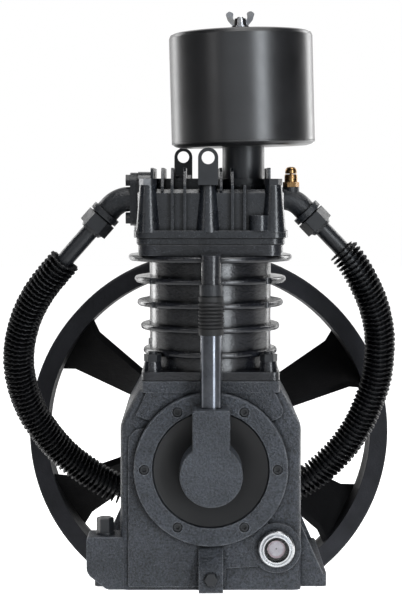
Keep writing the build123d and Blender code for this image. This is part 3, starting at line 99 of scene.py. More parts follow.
def mesh_from(name, points, faces):
    """A mesh from points and faces, with its normals facing out."""
    mesh = bpy.data.meshes.new(name)
    mesh.from_pydata(points, [], faces)
    work = bmesh.new()
    work.from_mesh(mesh)
    bmesh.ops.recalc_face_normals(work, faces=work.faces)
    work.to_mesh(mesh)
    work.free()
    return mesh


# ---------- materials ----------
class Recipe:
    """A material being made: its Principled shader, and short ways to add nodes."""

    def __init__(self, name, roughness=0.5, metallic=0.0, **sockets):
        self.material = bpy.data.materials.new(name)
        self.material.use_nodes = True
        self.tree = self.material.node_tree
        self.shader = self.tree.nodes["Principled BSDF"]
        self.shader.inputs["Roughness"].default_value = roughness
        self.shader.inputs["Metallic"].default_value = metallic
        for socket, value in sockets.items():
            self.shader.inputs[socket.replace("_", " ")].default_value = value
        self.place = self.add("ShaderNodeTexCoord").outputs["Object"]

    def add(self, kind, **settings):
        """A new node with its settings."""
        node = self.tree.nodes.new(kind)
        for key, value in settings.items():
            setattr(node, key, value)
        return node

    def feed(self, socket, source):
        """Links an output to a socket, or sets the socket to a plain value."""
        if isinstance(source, bpy.types.NodeSocket):
            self.tree.links.new(source, socket)
        else:
            socket.default_value = source

    def combine(self, operation, first, second=0.0, clamp=False):
        """One maths operation on two outputs or plain values."""
        node = self.add("ShaderNodeMath", operation=operation, use_clamp=clamp)
        self.feed(node.inputs[0], first)
        self.feed(node.inputs[1], second)
        return node.outputs[0]

    def noise(self, scale, detail=3.0, rough=0.55, place=None):
        """A cloudy value, about 0.5 on average."""
        node = self.add("ShaderNodeTexNoise")
        self.feed(node.inputs["Vector"], place or self.place)
        node.inputs["Scale"].default_value = scale
        node.inputs["Detail"].default_value = detail
        node.inputs["Roughness"].default_value = rough
        return node.outputs["Fac"]

    def span(self, source, low, high, to_low=0.0, to_high=1.0):
        """Maps low..high to to_low..to_high, and clamps."""
        node = self.add("ShaderNodeMapRange", clamp=True)
        self.feed(node.inputs["Value"], source)
        for key, value in (("From Min", low), ("From Max", high), ("To Min", to_low), ("To Max", to_high)):
            node.inputs[key].default_value = value
        return node.outputs["Result"]

    def mix(self, amount, first, second, blend="MIX"):
        """Mixes two colours by amount."""
        node = self.add("ShaderNodeMix", data_type="RGBA", blend_type=blend)
        self.feed(node.inputs["Factor"], amount)
        for socket, colour in ((node.inputs[6], first), (node.inputs[7], second)):
            self.feed(socket, (*colour, 1.0) if isinstance(colour, tuple) and len(colour) == 3 else colour)
        return node.outputs[2]

    def stretched(self, x, y, z):
        """The place coordinates scaled along each axis."""
        node = self.add("ShaderNodeMapping")
        self.feed(node.inputs["Vector"], self.place)
        node.inputs["Scale"].default_value = (x, y, z)
        return node.outputs["Vector"]

    def axis_value(self, axis):
        """The place coordinate along X, Y or Z (0, 1 or 2)."""
        node = self.add("ShaderNodeSeparateXYZ")
        self.feed(node.inputs[0], self.place)
        return node.outputs[axis]

    def radius_from(self, centre, flat_axis):
        """Distance from an axis through centre that runs along X, Y or Z."""
        shift = self.add("ShaderNodeVectorMath", operation="SUBTRACT")
        self.feed(shift.inputs[0], self.place)
        shift.inputs[1].default_value = centre
        flat = self.add("ShaderNodeVectorMath", operation="MULTIPLY")
        self.feed(flat.inputs[0], shift.outputs[0])
        flat.inputs[1].default_value = [0.0 if axis == flat_axis else 1.0 for axis in range(3)]
        length = self.add("ShaderNodeVectorMath", operation="LENGTH")
        self.feed(length.inputs[0], flat.outputs[0])
        return length.outputs["Value"]

    def rounded(self, radius):
        """A surface normal with its sharp edges eased by radius."""
        node = self.add("ShaderNodeBevel", samples=4)
        node.inputs["Radius"].default_value = radius
        return node.outputs["Normal"]

    def edge(self, radius):
        """1 near a sharp edge, 0 on flat ground."""
        dot = self.add("ShaderNodeVectorMath", operation="DOT_PRODUCT")
        self.feed(dot.inputs[0], self.rounded(radius))
        self.feed(dot.inputs[1], self.add("ShaderNodeNewGeometry").outputs["Normal"])
        return self.span(dot.outputs["Value"], 0.995, 0.86)

    def painted_crevice_shade(self, reach, darkest=0.12):
        """Painted shade: 1 on open ground, down to darkest in corners and seams, where less light reaches."""
        node = self.add("ShaderNodeAmbientOcclusion", samples=6)
        node.inputs["Distance"].default_value = reach
        return self.span(node.outputs["AO"], 0.4, 0.92, darkest, 1.0)

    def bumps(self, layers, radius=0.0):
        """Stacks bump layers of (height, depth in metres) over an eased normal."""
        normal = self.rounded(radius) if radius else None
        for height, depth in layers:
            node = self.add("ShaderNodeBump")
            node.inputs["Distance"].default_value = depth
            self.feed(node.inputs["Height"], height)
            if normal is not None:
                self.feed(node.inputs["Normal"], normal)
            normal = node.outputs["Normal"]
        self.feed(self.shader.inputs["Normal"], normal)

    def grey(self, value):
        """A colour with the same value in each channel; the value may be over 1."""
        node = self.add("ShaderNodeCombineColor")
        for channel in range(3):
            self.feed(node.inputs[channel], value)
        return node.outputs[0]

    def colour(self, source):
        self.feed(self.shader.inputs["Base Color"], source)
        return self

    def rough(self, source):
        self.feed(self.shader.inputs["Roughness"], source)
        return self


def cast_tone(paint, tone, pebbles, depth, specks, edges):
    """Shades a tone by its grain, then adds specks (share, colour) and lightens edges as rubbed wear and painted
    highlight (reach, share, colour).
    """
    shade = paint.span(pebbles, 0.34, 0.66, 1.0 - 0.62 * depth, 1.0 + 0.9 * depth)
    tone = paint.mix(1.0, tone, paint.grey(shade), "MULTIPLY")
    share, colour = specks
    dots = paint.span(paint.noise(SPECK_SCALE, 2.0, 0.6), 0.6, 0.7)
    tone = paint.mix(paint.combine("MULTIPLY", dots, share), tone, colour)
    # The edge lightening is partly rubbed wear and partly a painted highlight along the edges.
    reach, share, colour = edges
    patches = paint.span(paint.noise(75.0, 3.0), 0.3, 0.55)
    rub = paint.combine("MULTIPLY", paint.edge(reach), patches)
    return paint.mix(paint.combine("MULTIPLY", rub, share), tone, colour)


def cast_paint(name, dark, light, wear_and_highlight_colour, low, high, grain=1.0, edge_wear_and_highlight=0.6, coat=0.0, ease=0.9, rim=1.3):
    """Enamel over sand-cast iron: pebbled grain, soft dents, mottling, edges lightened as rubbed wear and painted
    highlight, and painted shade in corners.
    """
    paint = Recipe(name, Coat_Weight=coat, Coat_Roughness=0.18)
    pebbles = paint.noise(PEBBLE_SCALE, 3.0, 0.6)
    dents = paint.noise(DENT_SCALE, 4.0, 0.6)
    cloud = paint.noise(22.0, 5.0, 0.6)
    tone = paint.mix(paint.span(cloud, *SPREAD), dark, light)
    tone = cast_tone(paint, tone, pebbles, min(1.0, grain), (0.35, wear_and_highlight_colour), (rim * MM, edge_wear_and_highlight, wear_and_highlight_colour))
    # Painted shade: corners and seams are darkened in colour and lose some specular.
    painted_corner_shade = paint.painted_crevice_shade(SHADE_REACH)
    paint.colour(paint.mix(1.0, tone, paint.grey(painted_corner_shade), "MULTIPLY"))
    paint.rough(paint.span(paint.noise(55.0, 4.0, 0.65), *SPREAD, low, high))
    paint.feed(paint.shader.inputs["Specular IOR Level"], paint.span(painted_corner_shade, 0.1, 1.0, 0.1, 0.5))
    paint.bumps(((dents, 2.0 * MM * grain), (pebbles, 2.5 * MM * grain)), ease * MM)
    return paint.material


def wheel_paint():
    """Satin black rim and hub; the blades between them are duller, and are painted darker as painted shade."""
    paint = Recipe("flywheel_enamel", Specular_IOR_Level=0.12)
    radius = paint.radius_from(CRANK_AT, 1)
    blades_in_painted_shade = paint.combine("MULTIPLY", paint.span(radius, *BLADES_BEGIN), paint.span(radius, *BLADES_END))
    cloud = paint.noise(22.0, 5.0, 0.6)
    rim = paint.mix(paint.span(cloud, *SPREAD), (0.015, 0.0155, 0.018), (0.026, 0.027, 0.032))
    rub = paint.combine("MULTIPLY", paint.edge(1.2 * MM), paint.span(paint.noise(60.0, 3.0), 0.4, 0.65))
    rim = paint.mix(paint.combine("MULTIPLY", rub, 0.35), rim, (0.07, 0.07, 0.08))
    # Painted shade: the blades are painted near-black.
    paint.colour(paint.mix(blades_in_painted_shade, rim, (0.002, 0.002, 0.0025)))
    satin = paint.span(paint.noise(55.0, 4.0, 0.65), *SPREAD, 0.42, 0.56)
    paint.rough(paint.combine("ADD", satin, paint.combine("MULTIPLY", blades_in_painted_shade, 0.15), clamp=True))
    dents = paint.noise(DENT_SCALE, 4.0, 0.6)
    pebbles = paint.noise(PEBBLE_SCALE, 3.0, 0.6)
    paint.bumps(((dents, 0.5 * MM), (pebbles, 0.4 * MM)), 0.9 * MM)
    return paint.material


def cover_paint():
    """The front cover: cast grain on its rim and boss, a smooth dark turned dish between them."""
    paint = Recipe("cover_enamel")
    radius = paint.radius_from(CRANK_AT, 1)
    depth = paint.axis_value(1)
    inside = paint.span(radius, *DISH_EDGE)
    recessed = paint.span(depth, *DISH_FACE)
    # The boss stands forward of the dish, and its side walls stay cast.
    normal_y = paint.add("ShaderNodeSeparateXYZ")
    paint.feed(normal_y.inputs[0], paint.add("ShaderNodeNewGeometry").outputs["Normal"])
    facing = paint.span(paint.combine("ABSOLUTE", normal_y.outputs[1]), 0.25, 0.4)
    dish = paint.combine("MULTIPLY", paint.combine("MULTIPLY", inside, recessed), facing)
    cast = paint.combine("SUBTRACT", 1.0, dish)
    pebbles = paint.noise(PEBBLE_SCALE, 3.0, 0.6)
    dents = paint.noise(DENT_SCALE, 4.0, 0.6)
    cloud = paint.noise(24.0, 5.0, 0.6)
    tone = paint.mix(paint.span(cloud, *SPREAD), (0.024, 0.028, 0.035), (0.044, 0.050, 0.061))
    specks = (0.3, (0.12, 0.13, 0.15))
    # The lightened edges are partly rubbed wear and partly painted highlight.
    edges = (2.0 * MM, 0.9, (0.22, 0.23, 0.25))
    tone = cast_tone(paint, tone, pebbles, 0.85, specks, edges)
    # Painted shade in corners and seams.
    tone = paint.mix(1.0, tone, paint.grey(paint.painted_crevice_shade(SHADE_REACH)), "MULTIPLY")
    paint.colour(paint.mix(dish, tone, (0.006, 0.006, 0.0065)))
    mottled = paint.span(paint.noise(55.0, 4.0, 0.65), *SPREAD, 0.34, 0.5)
    polished = paint.span(paint.noise(40.0, 3.0), *SPREAD, 0.32, 0.4)
    blend = paint.add("ShaderNodeMix", data_type="FLOAT")
    paint.feed(blend.inputs["Factor"], dish)
    paint.feed(blend.inputs[2], mottled)
    paint.feed(blend.inputs[3], polished)
    paint.rough(blend.outputs[0])
    paint.feed(paint.shader.inputs["Specular IOR Level"], paint.span(dish, 0.0, 1.0, 0.5, 0.42))
    dents = paint.combine("MULTIPLY", dents, cast)
    pebbles = paint.combine("MULTIPLY", pebbles, cast)
    paint.bumps(((dents, 2.0 * MM), (pebbles, 2.5 * MM)), 1.2 * MM)
    return paint.material


def sheet_paint(name, base, low, high, gloss=0.5):
    """Powder-coated sheet: fine orange peel and faint cloudiness."""
    paint = Recipe(name, Specular_IOR_Level=gloss)
    peel = paint.noise(700.0, 2.0, 0.5)
    waves = paint.noise(26.0, 2.0, 0.4)
    light = tuple(min(1.0, 1.7 * channel + 0.003) for channel in base)
    paint.colour(paint.mix(paint.span(paint.noise(30.0, 6.0, 0.7), 0.35, 0.75), base, light))
    paint.rough(paint.span(paint.noise(90.0, 5.0, 0.7), *SPREAD, low, high))
    paint.bumps(((waves, 0.12 * MM), (peel, 0.022 * MM)), 0.8 * MM)
    return paint.material


def bare_metal(name, base, dull, low, high, brushed=(1.0, 1.0, 1.0), scratch=0.01, tint=None):
    """Machined, plated or drawn metal: scratches along the brushed axis, smudges and, with a tint, stains."""
    metal = Recipe(name, metallic=1.0)
    lines = metal.noise(1500.0, 2.0, 0.6, place=metal.stretched(*brushed))
    smudge = metal.noise(48.0, 5.0, 0.7)
    tone = metal.mix(metal.span(smudge, 0.35, 0.7), base, dull)
    if tint:
        tone = metal.mix(metal.span(metal.noise(85.0, 4.0, 0.6), 0.5, 0.72, 0.0, 0.7), tone, tint)
    metal.colour(tone)
    coarse = metal.combine("MULTIPLY", smudge, 0.75)
    wobble = metal.combine("ADD", coarse, metal.combine("MULTIPLY", lines, 0.25))
    metal.rough(metal.span(wobble, 0.32, 0.68, low, high))
    metal.bumps(((lines, scratch * MM),), 0.35 * MM)
    return metal.material


def moulded(name, base, low, high, grain=0.03):
    """Rubber: dull, slightly chalky, with fine grain."""
    skin = Recipe(name)
    bloom = skin.noise(60.0, 6.0, 0.75)
    chalk = tuple(min(1.0, 2.6 * channel + 0.012) for channel in base)
    skin.colour(skin.mix(skin.span(bloom, 0.5, 0.8), base, chalk))
    skin.rough(skin.span(skin.noise(120.0, 4.0), *SPREAD, low, high))
    skin.bumps(((skin.noise(1300.0, 3.0, 0.6), grain * MM),), 0.4 * MM)
    return skin.material


def paper():
    """Pleated filter paper: warm fibres."""
    sheet = Recipe("filter_paper_fibre", roughness=0.9)
    fibre = sheet.noise(1600.0, 3.0, 0.7, place=sheet.stretched(1.0, 1.0, 0.25))
    sheet.colour(sheet.mix(sheet.span(fibre, *SPREAD), (0.42, 0.30, 0.15), (0.62, 0.50, 0.32)))
    sheet.rough(sheet.span(fibre, *SPREAD, 0.8, 0.95))
    sheet.bumps(((fibre, 0.05 * MM),))
    return sheet.material


def jointing():
    """Gasket sheet: dark compressed fibre."""
    sheet = Recipe("gasket_fibre", roughness=0.8)
    fibre = sheet.noise(1100.0, 4.0, 0.7)
    sheet.colour(sheet.mix(sheet.span(fibre, 0.35, 0.7), (0.010, 0.010, 0.011), (0.045, 0.043, 0.040)))
    sheet.rough(sheet.span(fibre, *SPREAD, 0.7, 0.9))
    sheet.bumps(((fibre, 0.04 * MM),))
    return sheet.material


def lens_glass():
    """Clear sight-glass plastic with a faint haze; the reflector shows through it."""
    glass = Recipe("sight_lens_clear", IOR=1.49, Transmission_Weight=1.0)
    haze = glass.noise(300.0, 4.0, 0.7)
    glass.colour(glass.mix(glass.span(haze, 0.4, 0.8), (0.97, 0.97, 0.98), (0.88, 0.89, 0.92)))
    glass.rough(glass.span(haze, 0.4, 0.8, 0.02, 0.07))
    return glass.material


def reflector_plate():
    """The white, four-lobed oil level reflector, faintly pink, with a darker rim and centre dot."""
    low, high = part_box("sight_glass_reflector")
    centre = (Vector(low) + Vector(high)) / 2
    plate = Recipe("reflector_white")
    away = plate.radius_from(centre, 1)
    dot = plate.span(away, 1.0 * MM, 0.7 * MM)
    rim = plate.span(away, 7.4 * MM, 8.8 * MM)
    tone = plate.mix(plate.span(plate.noise(220.0, 4.0), 0.35, 0.7), (0.80, 0.76, 0.79), (0.66, 0.60, 0.64))
    tone = plate.mix(plate.combine("MULTIPLY", rim, 0.5), tone, (0.55, 0.25, 0.28))
    plate.colour(plate.mix(dot, tone, (0.10, 0.09, 0.09)))
    plate.rough(plate.span(plate.noise(400.0, 3.0), *SPREAD, 0.3, 0.45))
    plate.bumps(((plate.noise(700.0, 2.0), 0.02 * MM),), 0.3 * MM)
    return plate.material


SLOT_MATERIALS = {
    "rough_cast": cast_paint(
        "case_enamel", (0.016, 0.019, 0.024), (0.040, 0.045, 0.055), (0.20, 0.21, 0.23), 0.28, 0.46,
        edge_wear_and_highlight=0.95, ease=2.0, rim=2.2,
    ),
    "block_cast": cast_paint(
        "block_enamel", (0.004, 0.0045, 0.006), (0.012, 0.013, 0.017), (0.14, 0.15, 0.17), 0.14, 0.28,
        grain=0.12, edge_wear_and_highlight=0.3, coat=0.3,
    ),
    "head_cast": cast_paint(
        "head_enamel", (0.004, 0.0048, 0.0066), (0.011, 0.013, 0.017), (0.15, 0.16, 0.18), 0.2, 0.36,
        grain=0.1, edge_wear_and_highlight=0.3, coat=0.3,
    ),
    "flywheel_paint": wheel_paint(),
    "black_steel": sheet_paint("steel_enamel", (0.009, 0.010, 0.012), 0.3, 0.45),
    "fitting_black": cast_paint(
        "fitting_enamel", (0.006, 0.007, 0.009), (0.015, 0.017, 0.021), (0.10, 0.11, 0.12), 0.3, 0.45,
        grain=0.25, edge_wear_and_highlight=0.35,
    ),
    "fin_paint": sheet_paint("fin_enamel", (0.002, 0.002, 0.0027), 0.28, 0.42, gloss=0.3),
    "can_paint": sheet_paint("can_enamel", (0.005, 0.005, 0.0058), 0.3, 0.36, gloss=0.8),
    "filter_paper": paper(),
    "zinc_plate": bare_metal(
        "zinc_plating", (0.36, 0.36, 0.37), (0.18, 0.18, 0.19), 0.16, 0.36, tint=(0.28, 0.26, 0.22),
    ),
    "machined_steel": bare_metal(
        "machined_steel_bare", (0.56, 0.57, 0.58), (0.38, 0.39, 0.40), 0.16, 0.36, (1.0, 0.08, 1.0),
    ),
    "tube_steel": bare_metal(
        "drawn_tube_blued", (0.16, 0.17, 0.19), (0.09, 0.095, 0.11), 0.14, 0.3, (1.0, 1.0, 0.04), 0.006,
    ),
    "aluminium": bare_metal(
        "cast_aluminium", (0.66, 0.67, 0.68), (0.48, 0.49, 0.50), 0.28, 0.5, scratch=0.02,
    ),
    "rod_iron": cast_paint(
        "rod_forging", (0.10, 0.10, 0.105), (0.20, 0.20, 0.21), (0.42, 0.42, 0.43), 0.42, 0.6,
        grain=0.5, edge_wear_and_highlight=0.5,
    ),
    "brass": bare_metal(
        "brass_aged", (0.42, 0.26, 0.11), (0.20, 0.11, 0.05), 0.16, 0.38, tint=(0.07, 0.04, 0.02),
    ),
    "black_rubber": moulded("rubber_black", (0.006, 0.006, 0.0065), 0.5, 0.7),
    "gasket": jointing(),
    "bright_ring": bare_metal(
        "nickel_bright", (0.78, 0.79, 0.80), (0.62, 0.63, 0.65), 0.2, 0.34, scratch=0.004,
    ),
    "sight_lens": lens_glass(),
    "reflector": reflector_plate(),
}


def bolt_finish():
    """Blackened head bolts, but for the one at the front left, which is bright zinc."""
    low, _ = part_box("head_bolts")
    bolt_r = 8.5 * MM
    corner = Vector((low[0] + bolt_r, low[1] + bolt_r, 0.0))
    bolts = Recipe("bolt_steel")
    bright = bolts.span(bolts.radius_from(corner, 2), 14.0 * MM, 13.0 * MM)
    smudge = bolts.noise(90.0, 4.0, 0.65)
    black = bolts.mix(bolts.span(smudge, 0.35, 0.7), (0.007, 0.008, 0.010), (0.020, 0.021, 0.025))
    zinc = bolts.mix(bolts.span(smudge, 0.35, 0.7), (0.34, 0.35, 0.36), (0.20, 0.20, 0.21))
    bolts.colour(bolts.mix(bright, black, zinc))
    bolts.rough(bolts.span(smudge, *SPREAD, 0.26, 0.44))
    bolts.feed(bolts.shader.inputs["Metallic"], bright)
    bolts.bumps(((bolts.noise(900.0, 3.0), 0.03 * MM),), 0.5 * MM)
    return bolts.material


def dress_cad_nodes():
    """Every CAD node takes its slot's material, but for a few that have their own."""
    slots = {part["node"]: part["material_slot"] for part in frame["record"]["subparts"]}
    own = {"front_cover": cover_paint(), "head_bolts": bolt_finish()}
    own["left_elbow"] = own["right_elbow"] = SLOT_MATERIALS["fitting_black"]
    for name, node in NODES.items():
        material = own.get(name) or SLOT_MATERIALS[slots[name]]
        node.data.materials.clear()
        node.data.materials.append(material)


dress_cad_nodes()

# ---------- intercooler fins ----------
TUBE_R = 10.0 * MM
FIN_R = 18.8 * MM
FIN_PITCH = 6.1 * MM
FIN_T = 0.8 * MM
CRIMP_SWING = 0.95 * MM
WAVES_PER_TURN = 17
LEFT_CORNER = Vector((-107.0, -10.0, 436.0)) * MM
RIGHT_CORNER = Vector((101.0, 45.0, 436.0)) * MM
LEFT_TILT = math.radians(48.5)
RIGHT_TILT = math.radians(46.0)
LEFT_RUN = Vector((-math.cos(LEFT_TILT), 0, -math.sin(LEFT_TILT)))
RIGHT_RUN = Vector((math.cos(RIGHT_TILT), 0, -math.sin(RIGHT_TILT)))
# Distances in mm along each straight run from its elbow's corner: where the centre line starts, where it
# first bends, and where the fins end.
RUN_START = 33
LEFT_BEND = 92
RIGHT_BEND = 108
LEFT_FINS_END = 95
RIGHT_FINS_END = 84
# Corners in mm of the loop between the two bends; the tube rounds each of them.
LOOP_CORNERS = [
    (-213, 16, 314), (-234, 46, 248), (-225, 74, 184), (-188, 101, 122),
    (-132, 119, 77), (-68, 125.5, 54), (0, 125.5, 48.5), (68, 125.5, 55), (128, 121, 81),
    (180, 106, 137), (209, 86, 211), (209, 66, 288),
]


def loop_stations(step):
    """Points every step along the tube's centre line: straight runs joined by tangent arcs."""
    corners = [LEFT_CORNER + LEFT_RUN * RUN_START * MM, LEFT_CORNER + LEFT_RUN * LEFT_BEND * MM]
    corners += [Vector(corner) * MM for corner in LOOP_CORNERS]
    corners += [RIGHT_CORNER + RIGHT_RUN * RIGHT_BEND * MM, RIGHT_CORNER + RIGHT_RUN * RUN_START * MM]
    arc_parts = 24
    dense = [corners[0]]
    for before, here, after in zip(corners, corners[1:], corners[2:]):
        run_in = (here - before).normalized()
        run_out = (after - here).normalized()
        reach = 0.45 * min((here - before).length, (after - here).length)
        turn = run_in.angle(run_out)
        radius = reach / math.tan(turn / 2)
        start = here - run_in * reach
        inward = (run_out - run_in * run_out.dot(run_in)).normalized()
        centre = start + inward * radius
        axle = run_in.cross(inward)
        for part in range(arc_parts + 1):
            dense.append(centre + Matrix.Rotation(turn * part / arc_parts, 3, axle) @ (start - centre))
    dense.append(corners[-1])
    stations = []
    travelled = 0.0
    wanted = 0.0
    for one, two in zip(dense, dense[1:]):
        length = (two - one).length
        while length > 0 and wanted <= travelled + length:
            stations.append(one.lerp(two, (wanted - travelled) / length))
            wanted += step
        travelled += length
    return stations


def make_fins():
    """One crimped strip wound round the tube on edge, from near one nut to near the other."""
    steps = 4 * WAVES_PER_TURN
    spacing = FIN_PITCH / steps
    stations = loop_stations(spacing)
    skip_left = round((LEFT_FINS_END - RUN_START) * MM / spacing)
    skip_right = round((RIGHT_FINS_END - RUN_START) * MM / spacing)
    # Radius, share of the crimp's swing and share of the thickness, from root to tip.
    rows = [(TUBE_R + 0.1 * MM, 1.0, 1.3), (15.0 * MM, 0.75, 0.9), (FIN_R, 0.45, 0.6)]
    side = Vector((0, 1, 0))
    points = []
    profile = len(rows) * 2
    for index in range(skip_left, len(stations) - skip_right):
        ahead = stations[min(index + 1, len(stations) - 1)]
        along = (ahead - stations[index - 1]).normalized()
        side = (side - along * side.dot(along)).normalized()
        up = along.cross(side)
        turn = 2 * math.pi * index / steps
        outward = side * math.cos(turn) + up * math.sin(turn)
        # Waves out of step with the winding keep the crimp and the edge from looking too regular.
        wave = math.sin(WAVES_PER_TURN * turn) + 0.35 * math.sin(2.3 * turn + 0.001 * index)
        uneven = 1.0 + 0.012 * math.sin(5.1 * turn) + 0.008 * math.sin(0.37 * turn)
        for face, ordered in ((-1, rows), (1, rows[::-1])):
            for radius, share, thick in ordered:
                middle = stations[index] + outward * radius * uneven + along * CRIMP_SWING * share * wave
                points.append(middle + along * FIN_T * thick / 2 * face)
    faces = []
    count = len(points) // profile
    for ring in range(count - 1):
        for corner in range(profile):
            after = (corner + 1) % profile
            faces.append((
                ring * profile + corner, ring * profile + after,
                (ring + 1) * profile + after, (ring + 1) * profile + corner,
            ))
    faces.append(tuple(range(profile)))
    faces.append(tuple(range((count - 1) * profile, count * profile)))
    fins = new_piece("crimped_fins", mesh_from("crimped_fins", points, faces), SLOT_MATERIALS["fin_paint"])
    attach(fins, "pump_frame")
    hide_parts("intercooler_fins")


make_fins()


# ---------- filter element ----------
def make_element():
    """Pleated paper ring between two thin end caps, standing on the filter base."""
    low, high = (Vector(corner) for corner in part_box("filter_element"))
    # The CAD ring is tilted, so its box is larger than it is: these trims keep the element inside it.
    height = (high.z - low.z) - 4.0 * MM
    base = CAN_AT + CAN_UP * (low.z - CAN_AT.z + 1.8 * MM)
    outer = (high.x - low.x) / 2 - 4.5 * MM
    inner = outer - 22 * MM
    pleat_inset = 1.5 * MM
    side = Vector((0, 1, 0))
    across = CAN_UP.cross(side)
    pleats = 64
    points = []
    faces = []
    rings = 5
    for layer in range(rings):
        lift = height * (0.03 + 0.94 * layer / (rings - 1))
        for index in range(pleats * 2):
            turn = math.pi * index / pleats
            radius = outer - pleat_inset if index % 2 else inner + pleat_inset
            radius += random.uniform(-0.4, 0.4) * MM
            points.append(base + CAN_UP * lift + (side * math.cos(turn) + across * math.sin(turn)) * radius)
    for layer in range(rings - 1):
        for index in range(pleats * 2):
            after = (index + 1) % (pleats * 2)
            faces.append((
                layer * pleats * 2 + index, layer * pleats * 2 + after,
                (layer + 1) * pleats * 2 + after, (layer + 1) * pleats * 2 + index,
            ))
    mesh = bpy.data.meshes.new("pleated_element")
    mesh.from_pydata(points, [], faces)
    element = new_piece("pleated_element", mesh, SLOT_MATERIALS["filter_paper"], smooth=False)
    thick = element.modifiers.new("paper", "SOLIDIFY")
    thick.thickness = 0.5 * MM
    thick.offset = 0.0
    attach(element, "pump_frame")
    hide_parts("filter_element")
    for name, lift in (("element_lower_cap", 0.0), ("element_upper_cap", height - 5 * MM)):
        cap_mesh = end_cap(base + CAN_UP * lift, side, across, inner, outer)
        cap = new_piece(name, cap_mesh, SLOT_MATERIALS["black_rubber"])
        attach(cap, "pump_frame")
        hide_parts("filter_element")


def end_cap(base, side, across, inner, outer):
    """A rounded ring that the pleats are potted in."""
    outline = [
        (inner, 0), (outer, 0), (outer + 1.5 * MM, 1.5 * MM), (outer + 1.5 * MM, 3.5 * MM),
        (outer, 5 * MM), (inner, 5 * MM), (inner - 1.5 * MM, 3.5 * MM), (inner - 1.5 * MM, 1.5 * MM),
    ]
    count = 96
    points = []
    faces = []
    for index in range(count):
        turn = 2 * math.pi * index / count
        outward = side * math.cos(turn) + across * math.sin(turn)
        points += [base + outward * radius + CAN_UP * lift for radius, lift in outline]
    for index in range(count):
        after = (index + 1) % count
        for corner in range(len(outline)):
            follow = (corner + 1) % len(outline)
            faces.append((
                index * len(outline) + corner, index * len(outline) + follow,
                after * len(outline) + follow, after * len(outline) + corner,
            ))
    return mesh_from("end_cap", points, faces)


make_element()


# ---------- stage, lights and camera ----------
FLOOR_GAP = 0.035
FLOOR_REACH = 9.0
FOOT_GAP = 0.0005
# The plinth against the crankcase's outline: how much smaller it is in X and Y, and its shift in Y.
PLINTH_INSET = (0.02, 0.04)
PLINTH_SHIFT = 0.018


def studio_white(name, near):
    """A matte, near-white studio paint that glows with strength near at the front, rising to 1 behind."""
    white = Recipe(name, roughness=0.85)
    tone = white.mix(white.span(white.noise(3.0, 3.0), *SPREAD), (0.86, 0.86, 0.86), (0.9, 0.9, 0.9))
    white.colour(tone)
    white.feed(white.shader.inputs["Emission Color"], (1.0, 1.0, 1.0, 1.0))
    glow = white.span(white.axis_value(1), -0.1, 0.7, near, 1.0)
    white.feed(white.shader.inputs["Emission Strength"], glow)
    return white.material


def make_stage():
    """A wide floor below the flywheel, and the plinth that the feet stand on."""
    floor_z = CAD_BOX[0][2] - FLOOR_GAP
    size = FLOOR_REACH
    floor_mesh = mesh_from(
        "floor",
        [(-size, -size, floor_z), (size, -size, floor_z), (size, size, floor_z), (-size, size, floor_z)],
        [(0, 1, 2, 3)],
    )
    new_piece("floor", floor_mesh, studio_white("studio_floor", 0.12), smooth=False)
    low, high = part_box("crankcase")
    plinth_mesh = bpy.data.meshes.new("plinth")
    work = bmesh.new()
    bmesh.ops.create_cube(work, size=1.0)
    depth = high[1] - low[1] - PLINTH_INSET[1]
    height = -floor_z - FOOT_GAP
    for vertex in work.verts:
        vertex.co = Vector((
            vertex.co.x * (high[0] - low[0] - PLINTH_INSET[0]) + (high[0] + low[0]) / 2,
            vertex.co.y * depth + (high[1] + low[1]) / 2 + PLINTH_SHIFT,
            vertex.co.z * height - FOOT_GAP - height / 2,
        ))
    bmesh.ops.bevel(work, geom=work.edges[:], offset=0.003, segments=3, affect="EDGES")
    work.to_mesh(plinth_mesh)
    work.free()
    new_piece("plinth", plinth_mesh, studio_white("studio_plinth", 0.7), smooth=False)


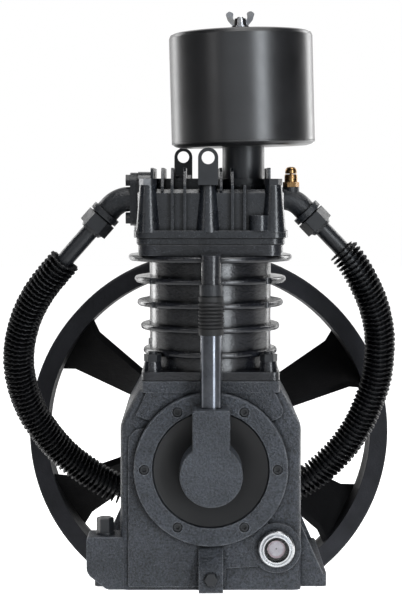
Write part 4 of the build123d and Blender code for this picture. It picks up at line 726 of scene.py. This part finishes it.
def make_world():
    """White to look at; for light and reflections, bright behind the object and dim in front."""
    world = bpy.data.worlds.new("studio")
    bpy.context.scene.world = world
    world.use_nodes = True
    tree = world.node_tree
    tree.nodes.clear()
    out = tree.nodes.new("ShaderNodeOutputWorld")
    pick = tree.nodes.new("ShaderNodeMixShader")
    seen = tree.nodes.new("ShaderNodeBackground")
    lit = tree.nodes.new("ShaderNodeBackground")
    path = tree.nodes.new("ShaderNodeLightPath")
    place = tree.nodes.new("ShaderNodeTexCoord")
    split = tree.nodes.new("ShaderNodeSeparateXYZ")
    fade = tree.nodes.new("ShaderNodeMapRange")
    tree.links.new(place.outputs["Generated"], split.inputs[0])
    tree.links.new(split.outputs["Y"], fade.inputs["Value"])
    for key, value in (("From Min", 0.35), ("From Max", 0.75), ("To Min", 0.03), ("To Max", 0.95)):
        fade.inputs[key].default_value = value
    tree.links.new(fade.outputs["Result"], lit.inputs["Strength"])
    tree.links.new(path.outputs["Is Camera Ray"], pick.inputs[0])
    tree.links.new(lit.outputs[0], pick.inputs[1])
    tree.links.new(seen.outputs[0], pick.inputs[2])
    tree.links.new(pick.outputs[0], out.inputs["Surface"])
    seen.inputs["Color"].default_value = (1.0, 1.0, 1.0, 1.0)
    seen.inputs["Strength"].default_value = 1.0
    lit.inputs["Color"].default_value = (1.0, 1.0, 1.0, 1.0)


def softbox(name, direction, distance, width, height, watts, tint=(1.0, 1.0, 1.0)):
    """An area light facing the middle of the object."""
    light = bpy.data.lights.new(name, "AREA")
    light.shape = "RECTANGLE"
    light.size = width
    light.size_y = height
    light.energy = watts
    light.color = tint
    lamp = bpy.data.objects.new(name, light)
    bpy.context.scene.collection.objects.link(lamp)
    middle = Vector((0, 0, 0.33))
    away = Vector(direction).normalized()
    lamp.location = middle + away * distance
    lamp.rotation_euler = away.to_track_quat("Z", "Y").to_euler()


def make_lights():
    """Softboxes in front, overhead and behind; the two strongest in front are slightly cool."""
    cool = (0.90, 0.95, 1.0)
    softbox("front_right", (0.50, -0.87, 0.15), 2.2, 0.5, 1.8, 28, cool)
    softbox("front_wide", (-0.15, -0.98, 0.28), 2.6, 1.9, 1.6, 8, cool)
    softbox("front_left", (-0.75, -0.75, 0.45), 2.4, 0.4, 1.6, 4)
    softbox("overhead", (0.1, -0.25, 1.0), 1.8, 1.4, 1.2, 26)
    softbox("right_back", (1.0, 0.95, 0.35), 2.0, 0.5, 1.8, 16)
    softbox("left_back", (-1.0, 0.90, 0.25), 2.0, 0.5, 1.8, 14)


def make_camera():
    """A long lens level with the cylinder head, looking slightly down at the front of the pump."""
    camera = bpy.data.cameras.new("camera")
    camera.lens = 96.0
    camera.sensor_width = 36.0
    camera.shift_x = 0.006
    camera.shift_y = -0.0965
    camera.clip_end = 60.0
    eye = bpy.data.objects.new("camera", camera)
    bpy.context.scene.collection.objects.link(eye)
    eye.location = (-0.018, -1.882, 0.456)
    eye.rotation_euler = (math.radians(90.0 - 2.15), 0.0, math.radians(-0.1))
    bpy.context.scene.camera = eye


make_stage()
make_world()
make_lights()
make_camera()
bpy.context.scene.view_settings.view_transform = "Standard"
